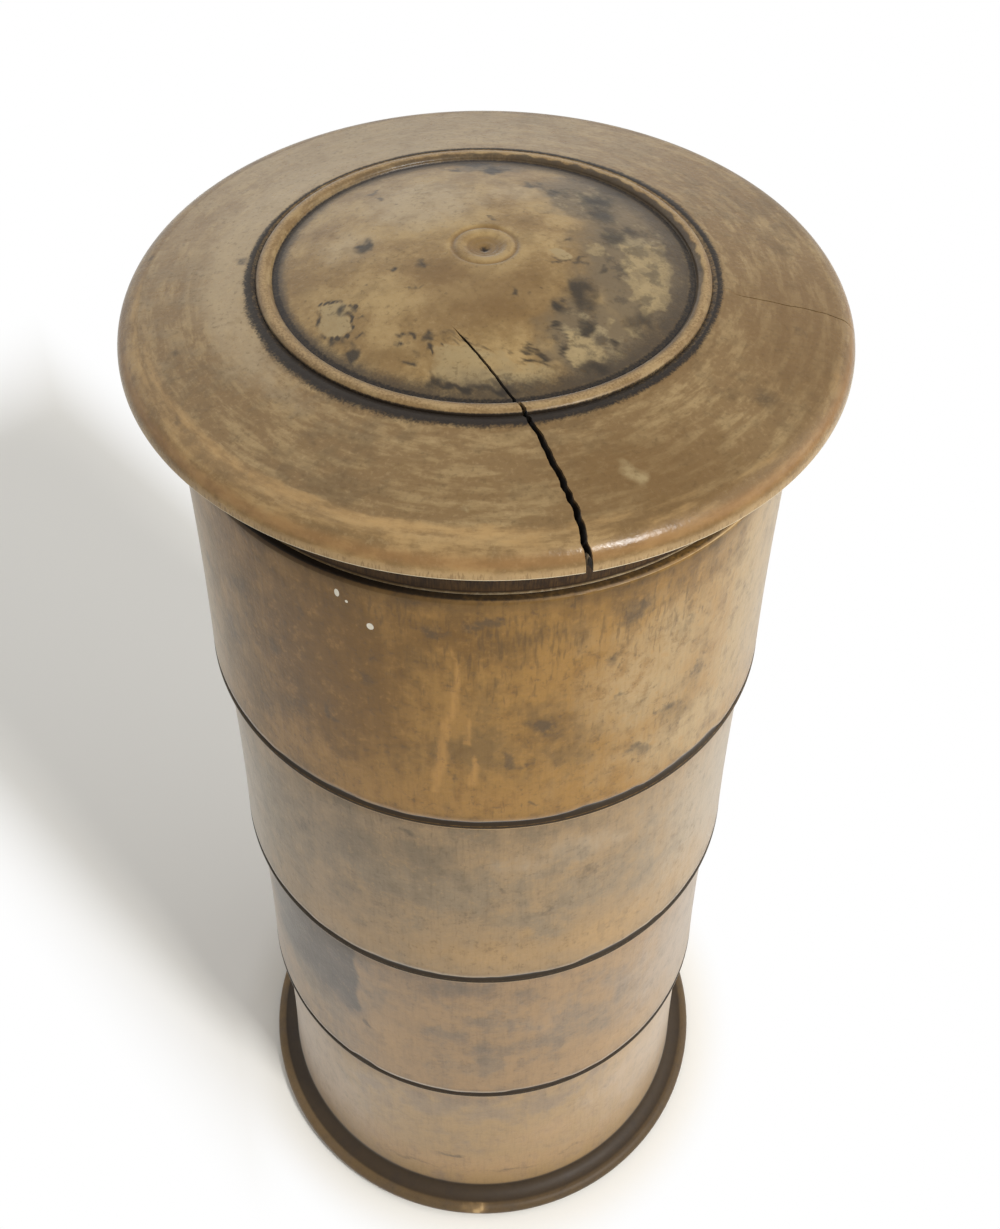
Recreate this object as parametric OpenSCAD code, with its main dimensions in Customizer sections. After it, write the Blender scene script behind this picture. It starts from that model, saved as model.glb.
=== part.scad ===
// Turned wooden spice tower.
// Four round boxes stack on each other and a domed lid closes the top one.
// Every box ends in a neck that fits the socket under the piece above it.

/* [Boxes] */
// Height of one box, from its bottom edge to its shoulder
box_h = 42.2; // [34:0.2:60]
// Diameter of a box at its shoulder
box_d = 76; // [66:0.5:100]
// How far the wall flares out between the shoulder and the bottom edge
flare = 1.2; // [0.4:0.1:3]
// Thickness of a stacking box's floor, above its socket
floor_t = 4.5; // [3:0.5:8]
// Radius of the turned corner inside a compartment
corner_r = 2.5; // [1:0.5:5]
// Softening of the turned outer edges
edge_r = 0.6; // [0.2:0.1:1]
// Width of the line scored round a stacking box just above its bottom edge
line_w = 1.3; // [0.8:0.1:2.5]
// Depth of that line
line_t = 0.3; // [0.1:0.05:0.6]
// Height of the thin lip left under that line
line_lip = 0.4; // [0.2:0.1:1.5]

/* [Screw joint] */
// Height of the neck above its shoulder
neck_h = 8; // [5:0.5:12]
// Width of the shoulder outside the neck
shoulder_w = 3.8; // [2.8:0.1:5]
// Wall thickness of the neck
neck_wall = 3.2; // [2:0.1:5]
// Radial clearance between a neck and its socket
neck_clear = 0.3; // [0.2:0.05:0.6]
// Free height over the neck inside its socket
head_gap = 0.6; // [0.3:0.1:2]

/* [Lid] */
// How far the rim stands out beyond the shoulder of the top box
lid_overhang = 5; // [2.5:0.1:9]
// Radius of the round on the rim's upper edge
rim_round = 3; // [1.5:0.1:4]
// Upright band between that round and the rim's crisp lower edge
rim_land = 0.2; // [0.1:0.1:2]
// Wood left between the socket's ceiling and the level of the rim's top
crown_t = 3.3; // [2:0.1:6]
// How far the collar under the rim is set back from the shoulder's edge
collar_setback = 1; // [0.4:0.1:1.5]
// Diameter of the raised ring, at its crest
ring_d = 50; // [30:0.5:56]
// Width of the raised ring
ring_w = 1.7; // [1:0.1:3]
// Width of the narrow groove on each side of the ring
quirk_w = 0.7; // [0.4:0.1:1.5]
// Depth of those grooves
quirk_t = 0.35; // [0.1:0.05:0.8]
// Rise of the slope from the rim's top to the foot of the ring
ring_rise = 2.5; // [1:0.1:6]
// Rise of the dome inside the ring
dome_rise = 3.6; // [1:0.1:6]
// Diameter of the dished button at the centre
button_d = 7.6; // [4:0.2:14]
// Depth of the dished button
button_t = 0.5; // [0.2:0.1:1]
// Rise of the hollow under the dome
hollow_rise = 3; // [0.5:0.1:5]

/* [Foot] */
// Height of the moulded foot
foot_h = 4.8; // [4:0.1:8]
// How far the foot spreads beyond the bottom edge of the wall
foot_spread = 4.3; // [2.5:0.1:7]
// Radius of the bead round the foot's edge
bead_r = 1.4; // [0.8:0.1:1.8]
// Thickness of the base box's floor, down to the table
base_floor_t = 8.5; // [5:0.5:14]
// Width of the ring that the tower stands on
stand_w = 6; // [3:0.5:12]
// Depth of the hollow under the foot
stand_t = 1.2; // [0.4:0.1:2]

/* [Hidden] */

top_r = box_d / 2;
lip_r = top_r + flare;
neck_r = top_r - shoulder_w;
cavity_r = neck_r - neck_wall;
socket_r = neck_r + neck_clear;
socket_t = neck_h + head_gap;
box_floor_z = socket_t + floor_t;

lid_r = top_r + lid_overhang;
collar_r = top_r - collar_setback;
rim_top_z = socket_t + crown_t;
collar_h = rim_top_z - rim_round - rim_land;
ring_r = ring_d / 2;
ring_z = rim_top_z + ring_rise;
dome_edge_r = ring_r - ring_w / 2 - quirk_w;
button_r = button_d / 2;
hollow_r = socket_r - corner_r;

foot_r = lip_r + foot_spread;
stand_r = foot_r - bead_r - stand_w;

wall_steps = 12;
dome_steps = 16;
round_steps = 10;
turn_fn = 128;

// Height of a seat: level 0 is the bottom edge of the base box's wall, level 1 its shoulder
function seat_z(level) = foot_h + level * box_h;

// Points of a circular arc about a centre, between two angles in degrees
function arc(centre, r, from, to) =
    [for (i = [0:round_steps])
        let (a = from + (to - from) * i / round_steps)
            centre + r * [cos(a), sin(a)]];

// Radius of a box's wall at a height: upright at the shoulder and flared towards the bottom edge
function wall_r(z) = top_r + flare * pow(1 - z / box_h, 2);

// Outside of a box's wall, from a height up to its softened shoulder edge
function wall_points(from_z) = concat(
    [for (i = [0:wall_steps])
        let (z = from_z + (box_h - edge_r - from_z) * i / wall_steps)
            [wall_r(z), z]],
    arc([wall_r(box_h - edge_r) - edge_r, box_h - edge_r], edge_r, 0, 90));

// Neck above the shoulder, with softened mouth, and the compartment down to its floor
function neck_and_cavity_points(floor_z) = concat(
    [[neck_r, box_h]],
    arc([neck_r - edge_r, box_h + neck_h - edge_r], edge_r, 0, 90),
    arc([cavity_r + edge_r, box_h + neck_h - edge_r], edge_r, 90, 180),
    arc([cavity_r - corner_r, floor_z + corner_r], corner_r, 0, -90),
    [[0, floor_z]]);

// Scored line round a stacking box, a shallow hollow that follows the flare
function line_points() =
    [for (i = [0:round_steps - 1])
        let (z = line_lip + line_w * i / round_steps)
            [wall_r(z) - line_t * sin(180 * i / round_steps), z]];

// Section of a stacking box, with the socket under its floor
function box_points() = concat(
    [[socket_r, 0], [wall_r(0), 0]],
    line_points(),
    wall_points(line_lip + line_w),
    neck_and_cavity_points(box_floor_z),
    [[0, socket_t], [socket_r, socket_t]]);

// Section of the base box, measured from the bottom edge of its wall, with the foot below that
function base_points() = concat(
    [[0, stand_t - foot_h], [stand_r - stand_t, stand_t - foot_h], [stand_r, -foot_h]],
    arc([foot_r - bead_r, bead_r - foot_h], bead_r, -90, 90),
    foot_cove_points(),
    wall_points(0),
    neck_and_cavity_points(base_floor_t - foot_h));

// Hollow sweep of the foot, from the top of its bead up to the wall
function foot_cove_points() =
    let (reach = foot_spread - bead_r, drop = foot_h - 2 * bead_r)
        [for (i = [1:round_steps - 1])
            let (a = 90 * (1 - i / round_steps))
                [lip_r + reach * (1 - cos(a)), -drop * sin(a)]];

// Raised ring on the lid between its two narrow grooves
function ring_points() = concat(
    [[ring_r + ring_w / 2 + quirk_w, ring_z]],
    [[ring_r + ring_w / 2, ring_z - quirk_t]],
    arc([ring_r, ring_z], ring_w / 2, 0, 180),
    [[ring_r - ring_w / 2, ring_z - quirk_t]]);

// Height of the dome inside the ring at a radius
function dome_z(r) = ring_z + dome_rise * (1 - pow(r / dome_edge_r, 2));

// Dome from the ring in to the edge of the button
function dome_points() =
    [for (i = [0:dome_steps])
        let (r = dome_edge_r + (button_r - dome_edge_r) * i / dome_steps)
            [r, dome_z(r)]];

// Dished button, deepest at the centre where the lathe's centre stood
function button_points() =
    [for (i = [1:round_steps])
        let (r = button_r * (1 - i / round_steps))
            [r, dome_z(button_r) - button_t * (1 - pow(r / button_r, 2))]];

// Hollow under the dome, from the centre out to the socket's ceiling
function hollow_points() =
    [for (i = [0:dome_steps])
        let (r = hollow_r * i / dome_steps)
            [r, socket_t + hollow_rise * (1 - pow(r / hollow_r, 2))]];

// Section of the lid, measured from its seat on the top box's shoulder
function lid_points() =
    let (rim_centre = [lid_r - rim_round, rim_top_z - rim_round],
         slope = atan(ring_rise / (rim_centre[0] - ring_r - ring_w / 2 - quirk_w)))
        concat(
            [[socket_r, 0], [collar_r, 0], [collar_r, collar_h], [lid_r, collar_h]],
            arc(rim_centre, rim_round, 0, 90 - slope),
            ring_points(),
            dome_points(),
            button_points(),
            hollow_points(),
            [[socket_r, socket_t]]);

module turned(points) rotate_extrude($fn = turn_fn) polygon(points);

module stacking_box(level) translate([0, 0, seat_z(level)]) turned(box_points());

module lid()
    color("#8a6b45") translate([0, 0, seat_z(4)]) turned(lid_points());

module top_box()
    color("#93744a") stacking_box(3);

module upper_middle_box()
    color("#8d7050") stacking_box(2);

module lower_middle_box()
    color("#8a6c4b") stacking_box(1);

module base_box()
    color("#8f7354") translate([0, 0, foot_h]) turned(base_points());

lid();
top_box();
upper_middle_box();
lower_middle_box();
base_box();
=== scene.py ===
# %% [markdown]
# # A turned wooden spice tower
# Four round boxes and a lid, turned from sycamore on a lathe, stack on screw necks into one tower.
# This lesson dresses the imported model. The frame gives every seat and radius, each piece gets a surface
# of its own that is worked out with numpy, and a finish that is built from shader nodes.
# Lengths are written in millimetres, and MM turns them into Blender's metres at the last moment.

# %% Load the frame and keep its box
import math
from functools import partial

import bpy
import numpy as np
from mathutils import Matrix, Vector


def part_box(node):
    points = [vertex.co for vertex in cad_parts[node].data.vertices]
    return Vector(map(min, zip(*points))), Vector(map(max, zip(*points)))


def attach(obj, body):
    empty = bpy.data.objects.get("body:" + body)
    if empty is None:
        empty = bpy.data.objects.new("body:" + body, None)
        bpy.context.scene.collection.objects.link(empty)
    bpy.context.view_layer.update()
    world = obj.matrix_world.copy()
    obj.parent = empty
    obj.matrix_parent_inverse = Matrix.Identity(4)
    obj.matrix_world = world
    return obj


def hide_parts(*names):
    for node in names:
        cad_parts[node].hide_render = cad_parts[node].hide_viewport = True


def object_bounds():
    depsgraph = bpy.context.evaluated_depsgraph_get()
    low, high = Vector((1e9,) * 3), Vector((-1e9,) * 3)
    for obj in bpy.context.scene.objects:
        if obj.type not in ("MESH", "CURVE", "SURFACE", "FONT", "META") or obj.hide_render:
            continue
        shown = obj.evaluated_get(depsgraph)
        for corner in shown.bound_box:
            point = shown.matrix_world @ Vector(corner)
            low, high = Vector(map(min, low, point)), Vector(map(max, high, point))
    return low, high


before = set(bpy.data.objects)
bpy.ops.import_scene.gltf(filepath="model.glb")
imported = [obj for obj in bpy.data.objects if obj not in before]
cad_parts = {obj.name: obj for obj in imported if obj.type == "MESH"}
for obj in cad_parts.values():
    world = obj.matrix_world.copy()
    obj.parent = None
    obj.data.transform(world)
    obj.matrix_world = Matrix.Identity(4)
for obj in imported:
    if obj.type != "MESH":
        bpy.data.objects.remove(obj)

MM = 0.001
cad_low, cad_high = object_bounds()
print("CAD box in mm:", [round(side / MM, 1) for side in cad_high - cad_low])

# %% [markdown]
# ## The camera
# The photograph looks steeply down on the lid from close by, so the tower tapers towards its foot.
# A camera could be aimed at the tower with a constraint, but here its place, tilt and roll are written
# out, because they were found from the circles in the picture.

# %% Camera
CAMERA_PLACE = (2.11, -137.41, 285.2)
CAMERA_TILT = 48.78
CAMERA_ROLL = 1.011
LENS = 41.53
SENSOR = 36
NEAREST = 10

camera_data = bpy.data.cameras.new("camera")
camera_data.lens = LENS
camera_data.sensor_width = SENSOR
camera_data.clip_start = NEAREST * MM
camera = bpy.data.objects.new("camera", camera_data)
camera.matrix_world = (
    Matrix.Translation(Vector(CAMERA_PLACE) * MM)
    @ Matrix.Rotation(math.radians(90 - CAMERA_TILT), 4, "X")
    @ Matrix.Rotation(math.radians(CAMERA_ROLL), 4, "Z")
)
bpy.context.scene.collection.objects.link(camera)
bpy.context.scene.camera = camera
bpy.context.scene.view_settings.view_transform = "Standard"
print("camera", CAMERA_TILT, "degrees down with a lens of", LENS, "mm")

# %% [markdown]
# ## Colours and nodes
# Colours are written as sRGB hex, the way a paint chart gives them, and shaders work in linear light.
# One function turns the first into the second. Another adds a node to a tree with its settings and links,
# so that a material reads as a list of what it is made of, and two more do sums with numbers and vectors.

# %% Helpers for every material
def linear(hex_colour):
    """A colour such as #a98655 as linear RGBA: each channel through the sRGB curve, with alpha 1."""
    srgb = np.array([int(hex_colour[i:i + 2], 16) for i in (1, 3, 5)]) / 255
    light = np.where(srgb <= 0.04045, srgb / 12.92, ((srgb + 0.055) / 1.055) ** 2.4)
    return (*light.tolist(), 1.0)


def node(tree, kind, inputs=None, **settings):
    """Add one node: settings are its properties, and inputs gives each socket a value or a link."""
    made = tree.nodes.new(kind)
    for name, value in settings.items():
        setattr(made, name, value)
    for socket, value in (inputs or {}).items():
        if isinstance(value, bpy.types.NodeSocket):
            tree.links.new(value, made.inputs[socket])
        else:
            made.inputs[socket].default_value = value
    return made


def maths(tree, operation, *values):
    """The result of one sum with numbers, from sockets or plain values."""
    return node(tree, "ShaderNodeMath", dict(enumerate(values)), operation=operation).outputs[0]


def vectors(tree, operation, *values):
    """The result of one sum with vectors, which is a number for a length or a dot product."""
    result = "Value" if operation in ("LENGTH", "DOT_PRODUCT") else "Vector"
    return node(tree, "ShaderNodeVectorMath", dict(enumerate(values)), operation=operation).outputs[result]


# %% [markdown]
# ## The studio
# The tower stands on a white table in daylight from the front right, with a broad pale wall on the right.
# Area lamps make such light: a window of moderate size keeps the shadow's edge readable, and two large
# weak panels stand for the wall and for the light that comes back from the room. The world is white to the
# camera and to reflections, which gives waxed wood its pale edges, and dimmer as a light, so that the
# table keeps the shadow.

# %% World
AMBIENT = 0.4

world = bpy.data.worlds.new("white studio")
bpy.context.scene.world = world
world.use_nodes = True
sky = world.node_tree
sky.nodes.clear()
path = node(sky, "ShaderNodeLightPath").outputs
seen = maths(sky, "MAXIMUM", path["Is Camera Ray"], path["Is Glossy Ray"])
seen = maths(sky, "MAXIMUM", seen, path["Is Transmission Ray"])
levels = {"Value": seen, "To Min": AMBIENT, "To Max": 1.0}
strength = node(sky, "ShaderNodeMapRange", levels).outputs["Result"]
white = node(sky, "ShaderNodeBackground", {"Color": linear("#ffffff"), "Strength": strength})
node(sky, "ShaderNodeOutputWorld", {"Surface": white.outputs[0]})
print("world lights at", AMBIENT)

# %% Lamps
WINDOW_BEARING = 45
WINDOW_HEIGHT = 45


def softbox(name, bearing, height, distance, size, watts):
    """A square lamp facing the tower's middle, at a bearing right of the front and a height in degrees."""
    lamp = bpy.data.lights.new(name, "AREA")
    lamp.size = size * MM
    lamp.energy = watts
    a, e = math.radians(bearing), math.radians(height)
    towards = Vector((math.sin(a) * math.cos(e), -math.cos(a) * math.cos(e), math.sin(e)))
    holder = bpy.data.objects.new(name, lamp)
    holder.location = (cad_low + cad_high) / 2 + towards * distance * MM
    holder.rotation_euler = towards.to_track_quat("Z", "Y").to_euler()
    bpy.context.scene.collection.objects.link(holder)


softbox("window", WINDOW_BEARING, WINDOW_HEIGHT, distance=900, size=150, watts=5.4)
softbox("pale wall", bearing=85, height=32, distance=1500, size=1500, watts=8.0)
softbox("back of the room", bearing=-140, height=40, distance=1500, size=1500, watts=3.5)
print("lamps:", [lamp.name for lamp in bpy.data.lights])

# %% [markdown]
# ## The table
# A white table under this light renders a little below white. For the camera alone it turns to pure white
# away from the tower, but not in the band behind the tower where the window's shadow falls, and not close
# to the foot, where the shade under its edge makes the tower stand.

# %% Table
TABLE_HALF = 3000
TABLE_DROP = 0.05
FOOT_SHADE = (43, 54)
LIT_SIDE = (-45, 5)
SHADOW_HALF = (34, 64)
SHADOW_END = (-280, -215)
SHADOW_LIFT = 0.12


def soft_step(tree, value, bounds_mm):
    """A soft 0 to 1 while a length in metres passes between two bounds in millimetres."""
    low, high = bounds_mm
    return node(
        tree, "ShaderNodeMapRange", {"Value": value, "From Min": low * MM, "From Max": high * MM},
        interpolation_type="SMOOTHSTEP",
    ).outputs["Result"]


table_mesh = bpy.data.meshes.new("table")
half = TABLE_HALF * MM
table_corners = ((-half, -half), (half, -half), (half, half), (-half, half))
table_mesh.from_pydata([(x, y, -TABLE_DROP * MM) for x, y in table_corners], [], [(0, 1, 2, 3)])
table = bpy.data.objects.new("table", table_mesh)
bpy.context.scene.collection.objects.link(table)

paint = bpy.data.materials.new("matt white painted table")
paint.use_nodes = True
tree = paint.node_tree
tree.nodes.clear()
path = node(tree, "ShaderNodeLightPath").outputs
place = node(tree, "ShaderNodeTexCoord").outputs["Object"]
a = math.radians(WINDOW_BEARING)
to_window, sideways = (math.sin(a), -math.cos(a), 0), (math.cos(a), math.sin(a), 0)
away = vectors(tree, "LENGTH", place)
along = vectors(tree, "DOT_PRODUCT", place, to_window)
side = maths(tree, "ABSOLUTE", vectors(tree, "DOT_PRODUCT", place, sideways))
beyond = maths(tree, "SUBTRACT", 1.0, soft_step(tree, along, SHADOW_END))
white = SHADOW_LIFT
for lit in (soft_step(tree, along, LIT_SIDE), soft_step(tree, side, SHADOW_HALF), beyond):
    white = maths(tree, "MAXIMUM", white, lit)
for kept in (soft_step(tree, away, FOOT_SHADE), path["Is Camera Ray"]):
    white = maths(tree, "MULTIPLY", white, kept)
matt = node(tree, "ShaderNodeBsdfDiffuse", {"Color": linear("#f5f2ea")}).outputs[0]
plain = node(tree, "ShaderNodeEmission", {"Color": linear("#ffffff"), "Strength": 1.0}).outputs[0]
mixed = node(tree, "ShaderNodeMixShader", {0: white, 1: matt, 2: plain}).outputs[0]
node(tree, "ShaderNodeOutputMaterial", {"Surface": mixed})
table_mesh.materials.append(paint)
print("table", 2 * TABLE_HALF, "mm square")

# %% [markdown]
# ## Sizes
# Blender never resizes the part, so the seats and radii come from the frame's own boxes. The few sizes
# that a box can't show, such as the thickness of a neck, are written here as the design has them.

# %% Sizes from the frame
def turned_size(name):
    """A node's lowest and highest height and the radius it was turned to, in millimetres."""
    low, high = (np.array(corner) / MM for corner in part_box(name))
    return low[2], high[2], min(-low[0], -low[1], high[0], high[1])


STACKED = ("lower_middle_box", "upper_middle_box", "top_box")
foot_r = turned_size("base_box")[2]
first_seat, first_mouth, lip_r = turned_size("lower_middle_box")
lid_seat, _, lid_r = turned_size("lid")
box_h = turned_size("upper_middle_box")[0] - first_seat
neck_h = first_mouth - first_seat - box_h
foot_h = first_seat - box_h
seat = {name: turned_size(name)[0] for name in STACKED}
seat["base_box"] = foot_h
print("seats in mm:", {name: round(z, 1) for name, z in seat.items()}, "lid", round(lid_seat, 1))

# %% Sizes of the boxes and the screw joint
FLARE = 1.2
SHOULDER_W = 3.8
NECK_WALL = 3.2
NECK_CLEAR = 0.3
HEAD_GAP = 0.6
FLOOR_T = 4.5
CORNER_R = 2.5
EDGE_R = 0.6
LINE_LIP = 0.4
LINE_W = 1.3
LINE_T = 0.3

top_r = lip_r - FLARE
neck_r = top_r - SHOULDER_W
cavity_r = neck_r - NECK_WALL
socket_r = neck_r + NECK_CLEAR
socket_t = neck_h + HEAD_GAP
print("shoulder radius", round(top_r, 1), "neck", round(neck_r, 1), "compartment", round(cavity_r, 1))

# %% [markdown]
# ## Turning a piece
# On a lathe a piece is a section line swept round an axis. Blender's Screw or Spin could do that, but a
# real piece isn't perfectly round: threads climb, a crack opens and edges are chipped. So each surface is
# a grid, with the section line down the rows and the angle round the columns, that can be bent freely
# before it becomes a mesh. Angle 0 faces the camera and angles grow to the right.

# %% Section lines
def straight(start, end, step):
    """Points along a line, start + t (end - start), about a step apart."""
    start, end = np.array(start, float), np.array(end, float)
    count = max(2, math.ceil(np.linalg.norm(end - start) / step) + 1)
    return start + np.linspace(0, 1, count)[:, None] * (end - start)


def arc(centre, radius, first, last, step):
    """Points round a circle, centre + radius (cos a, sin a), with a from first to last degrees."""
    count = max(4, math.ceil(math.radians(abs(last - first)) * radius / step) + 1)
    a = np.radians(np.linspace(first, last, count))
    return np.array(centre, float) + radius * np.column_stack([np.cos(a), np.sin(a)])


def section(**stretches):
    """One section line from named stretches laid end to end, and the name of each point's stretch."""
    names = list(stretches)
    parts = [stretches[name][:-1] for name in names[:-1]] + [stretches[names[-1]]]
    return np.vstack(parts), np.repeat(names, [len(part) for part in parts])


# %% From a grid to a mesh
SHARP = 50


def in_space(radius, height, angle):
    """Points of a grid in millimetres: (radius sin angle, -radius cos angle, height)."""
    return np.stack([radius * np.sin(angle), -radius * np.cos(angle), height], axis=-1)


def lathe(name, radius, height, angle, marks):
    """A closed piece from grids of radius, height and angle.

    The first and last row lie on the axis and become one point each, with a fan of triangles. Every
    other pair of rows is joined by quads, and the last column meets the first. marks are grids of
    numbers that stay on the points for the finish to read.
    """
    rows, columns = radius.shape
    grid = in_space(radius, height, angle) * MM
    points = np.vstack([grid[0, :1], grid[1:-1].reshape(-1, 3), grid[-1, :1]])
    index = 1 + np.arange((rows - 2) * columns).reshape(rows - 2, columns)
    after = np.roll(index, -1, axis=1)
    quads = np.stack([index[:-1], index[1:], after[1:], after[:-1]], axis=-1).reshape(-1, 4)
    first_fan = np.stack([np.zeros(columns, int), index[0], after[0]], axis=-1)
    last_fan = np.stack([np.full(columns, len(points) - 1), after[-1], index[-1]], axis=-1)
    corners = np.concatenate([quads.ravel(), first_fan.ravel(), last_fan.ravel()])
    sizes = np.repeat([4, 3], [len(quads), 2 * columns])
    mesh = bpy.data.meshes.new(name)
    mesh.vertices.add(len(points))
    mesh.vertices.foreach_set("co", points.ravel())
    mesh.loops.add(len(corners))
    mesh.loops.foreach_set("vertex_index", corners)
    mesh.polygons.add(len(sizes))
    mesh.polygons.foreach_set("loop_start", np.concatenate([[0], sizes.cumsum()[:-1]]))
    mesh.polygons.foreach_set("use_smooth", np.ones(len(sizes), bool))
    mesh.update(calc_edges=True)
    mesh.validate()
    mesh.set_sharp_from_angle(angle=math.radians(SHARP))
    for mark, values in marks.items():
        values = np.broadcast_to(values, radius.shape)
        on_points = np.concatenate([values[0, :1], values[1:-1].ravel(), values[-1, :1]])
        mesh.attributes.new(mark, "FLOAT", "POINT").data.foreach_set("value", on_points.astype(np.float32))
    piece = bpy.data.objects.new(name, mesh)
    bpy.context.scene.collection.objects.link(piece)
    print(name, "has", len(points), "points and", int((sizes - 2).sum()), "triangles")
    return piece


# %% [markdown]
# ## Irregular edges and screw threads
# Nothing on an old turned piece is even. A sum of a few sine waves with seeded phases gives a smooth
# curve that wanders round the piece and closes on itself, for chipped lines and blurred dirt. The joints
# are coarse wooden threads, a cosine wave that climbs one pitch for each turn. They are cut just clear of
# each other, so that a lifted piece slides off freely.

# %% Wandering curves, soft steps and threads
def wander(angle, seed, waves, fall=0.5):
    """A closed irregular curve from -1 to 1: sines of 1, 2, 3 ... waves a turn with seeded phases."""
    rng = np.random.default_rng(seed)
    count = np.arange(1, waves + 1)
    phase = rng.uniform(0, 2 * np.pi, waves)
    curve = (np.sin(angle[..., None] * count + phase) * count ** -fall).sum(-1)
    return curve / np.abs(curve).max()


RIPPLES = 10
RIPPLE_SPREAD = (0.6, 1.6)


def ripple(points, seed, wavelength):
    """A field that wanders about 0 in space: a sum of plane waves with seeded ways, lengths and phases."""
    rng = np.random.default_rng(seed)
    ways = rng.normal(size=(RIPPLES, 3))
    ways /= np.linalg.norm(ways, axis=1, keepdims=True)
    number = 2 * np.pi / (wavelength * rng.uniform(*RIPPLE_SPREAD, RIPPLES))
    phase = rng.uniform(0, 2 * np.pi, RIPPLES)
    return np.sin(points @ (ways.T * number) + phase).sum(-1) * math.sqrt(2 / RIPPLES)


TORN = 0.12
SHORT_SEED = 9


def torn(points, seed, long_mm, short_mm):
    """Two wandering lengths that tear an outline, a set share of a long and of a short wavelength."""
    lengths = []
    for way in (0, 1):
        long_waves = long_mm * ripple(points, [seed, way], long_mm)
        short_waves = short_mm * ripple(points, [seed, way, SHORT_SEED], short_mm)
        lengths.append(TORN * (long_waves + short_waves))
    return lengths


def on_side(angle, at, narrow):
    """1 on one side of a piece and 0 on the other, (0.5 + 0.5 cos(angle - at)) to a narrowing power."""
    return (0.5 + 0.5 * np.cos(angle - math.radians(at))) ** narrow


def round_from(degrees, at):
    """Degrees round from a place, the shorter way, between -180 and 180."""
    return (degrees - at + 180) % 360 - 180


def smooth(t):
    """A soft step, 3 t squared - 2 t cubed, held at 0 before t = 0 and at 1 after t = 1."""
    t = np.clip(t, 0, 1)
    return t * t * (3 - 2 * t)


THREAD_PITCH = 2.6
THREAD_T = 0.55


def thread(angle, height, start, end):
    """Depth of a screw thread: a cosine wave across the pitch, one pitch up a turn, faded at both ends."""
    phase = 2 * np.pi * height / THREAD_PITCH - angle
    fade = smooth(np.minimum(height - start, end - height) / (THREAD_PITCH / 2))
    return THREAD_T * fade * (0.5 - 0.5 * np.cos(phase))


# %% [markdown]
# ## The boxes
# Each box is a cup with a flared wall, a screw neck at its mouth and, except at the bottom of the tower, a
# socket under its floor. A dark line is scored just above the bottom edge, and years of handling have
# chipped its upper side, so the line's width wanders and jumps where a chip is missing.

# %% Section of a stacking box
ARRIS_R = 0.15
# Distance between neighbouring points on each stretch of a box's section
STEP = {
    "floor": 1.2, "corner": 0.6, "cavity": 2.4, "mouth": 0.2, "neck": 0.24, "shoulder": 0.6, "edge": 0.12,
    "wall": 0.72, "line": 0.13, "lip": 0.1, "arris": 0.06, "under": 1.0, "socket": 0.26, "ceiling": 2.6,
    "bead": 0.25, "stand": 1.5, "relief": 0.6,
}


def wall_r(height, bottom):
    """Radius of a wall: the shoulder's radius plus a flare that grows as the square of the way down."""
    return top_r + FLARE * (1 - (height - bottom) / box_h) ** 2


def wall_line(bottom, start, end, step):
    """Points down a wall between two heights."""
    height = straight((0, start), (0, end), step)[:, 1]
    return np.column_stack([wall_r(height, bottom), height])


def cup(bottom, floor_z):
    """The stretches that every box shares, from the middle of its floor over the neck to the shoulder."""
    shoulder = bottom + box_h
    rounding = shoulder + neck_h - EDGE_R
    flat_r = cavity_r - CORNER_R
    return {
        "floor": straight((0, floor_z), (flat_r, floor_z), STEP["floor"]),
        "corner": arc((flat_r, floor_z + CORNER_R), CORNER_R, -90, 0, STEP["corner"]),
        "cavity": straight((cavity_r, floor_z + CORNER_R), (cavity_r, rounding), STEP["cavity"]),
        "mouth": np.vstack([
            arc((cavity_r + EDGE_R, rounding), EDGE_R, 180, 90, STEP["mouth"]),
            arc((neck_r - EDGE_R, rounding), EDGE_R, 90, 0, STEP["mouth"]),
        ]),
        "neck": straight((neck_r, rounding), (neck_r, shoulder), STEP["neck"]),
        "shoulder": straight((neck_r, shoulder), (top_r - EDGE_R, shoulder), STEP["shoulder"]),
        "edge": arc((top_r - EDGE_R, shoulder - EDGE_R), EDGE_R, 90, 0, STEP["edge"]),
    }


def stacked_section(bottom):
    """A stacking box: the cup, its wall, the scored line and lip, and the socket underneath."""
    line_low = bottom + LINE_LIP
    line_top = line_low + LINE_W
    ceiling = bottom + socket_t
    return section(
        **cup(bottom, ceiling + FLOOR_T),
        wall=wall_line(bottom, bottom + box_h - EDGE_R, line_top, STEP["wall"]),
        line=wall_line(bottom, line_top, line_low, STEP["line"]),
        lip=wall_line(bottom, line_low, bottom + ARRIS_R, STEP["lip"]),
        arris=arc((lip_r - ARRIS_R, bottom + ARRIS_R), ARRIS_R, 0, -90, STEP["arris"]),
        under=straight((lip_r - ARRIS_R, bottom), (socket_r, bottom), STEP["under"]),
        socket=straight((socket_r, bottom), (socket_r, ceiling), STEP["socket"]),
        ceiling=straight((socket_r, ceiling), (0, ceiling), STEP["ceiling"]),
    )


print("a stacking box has", len(stacked_section(seat["top_box"])[0]), "rows")

# %% [markdown]
# The base box has no socket. Its wall runs into a hollow sweep, a bead rolls round the foot, and the
# underside is relieved so that the tower stands on a ring.

# %% Section of the base box
BEAD_R = 1.4
BASE_FLOOR_T = 8.5
STAND_W = 6
STAND_T = 1.2
COVE_POINTS = 12


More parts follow.
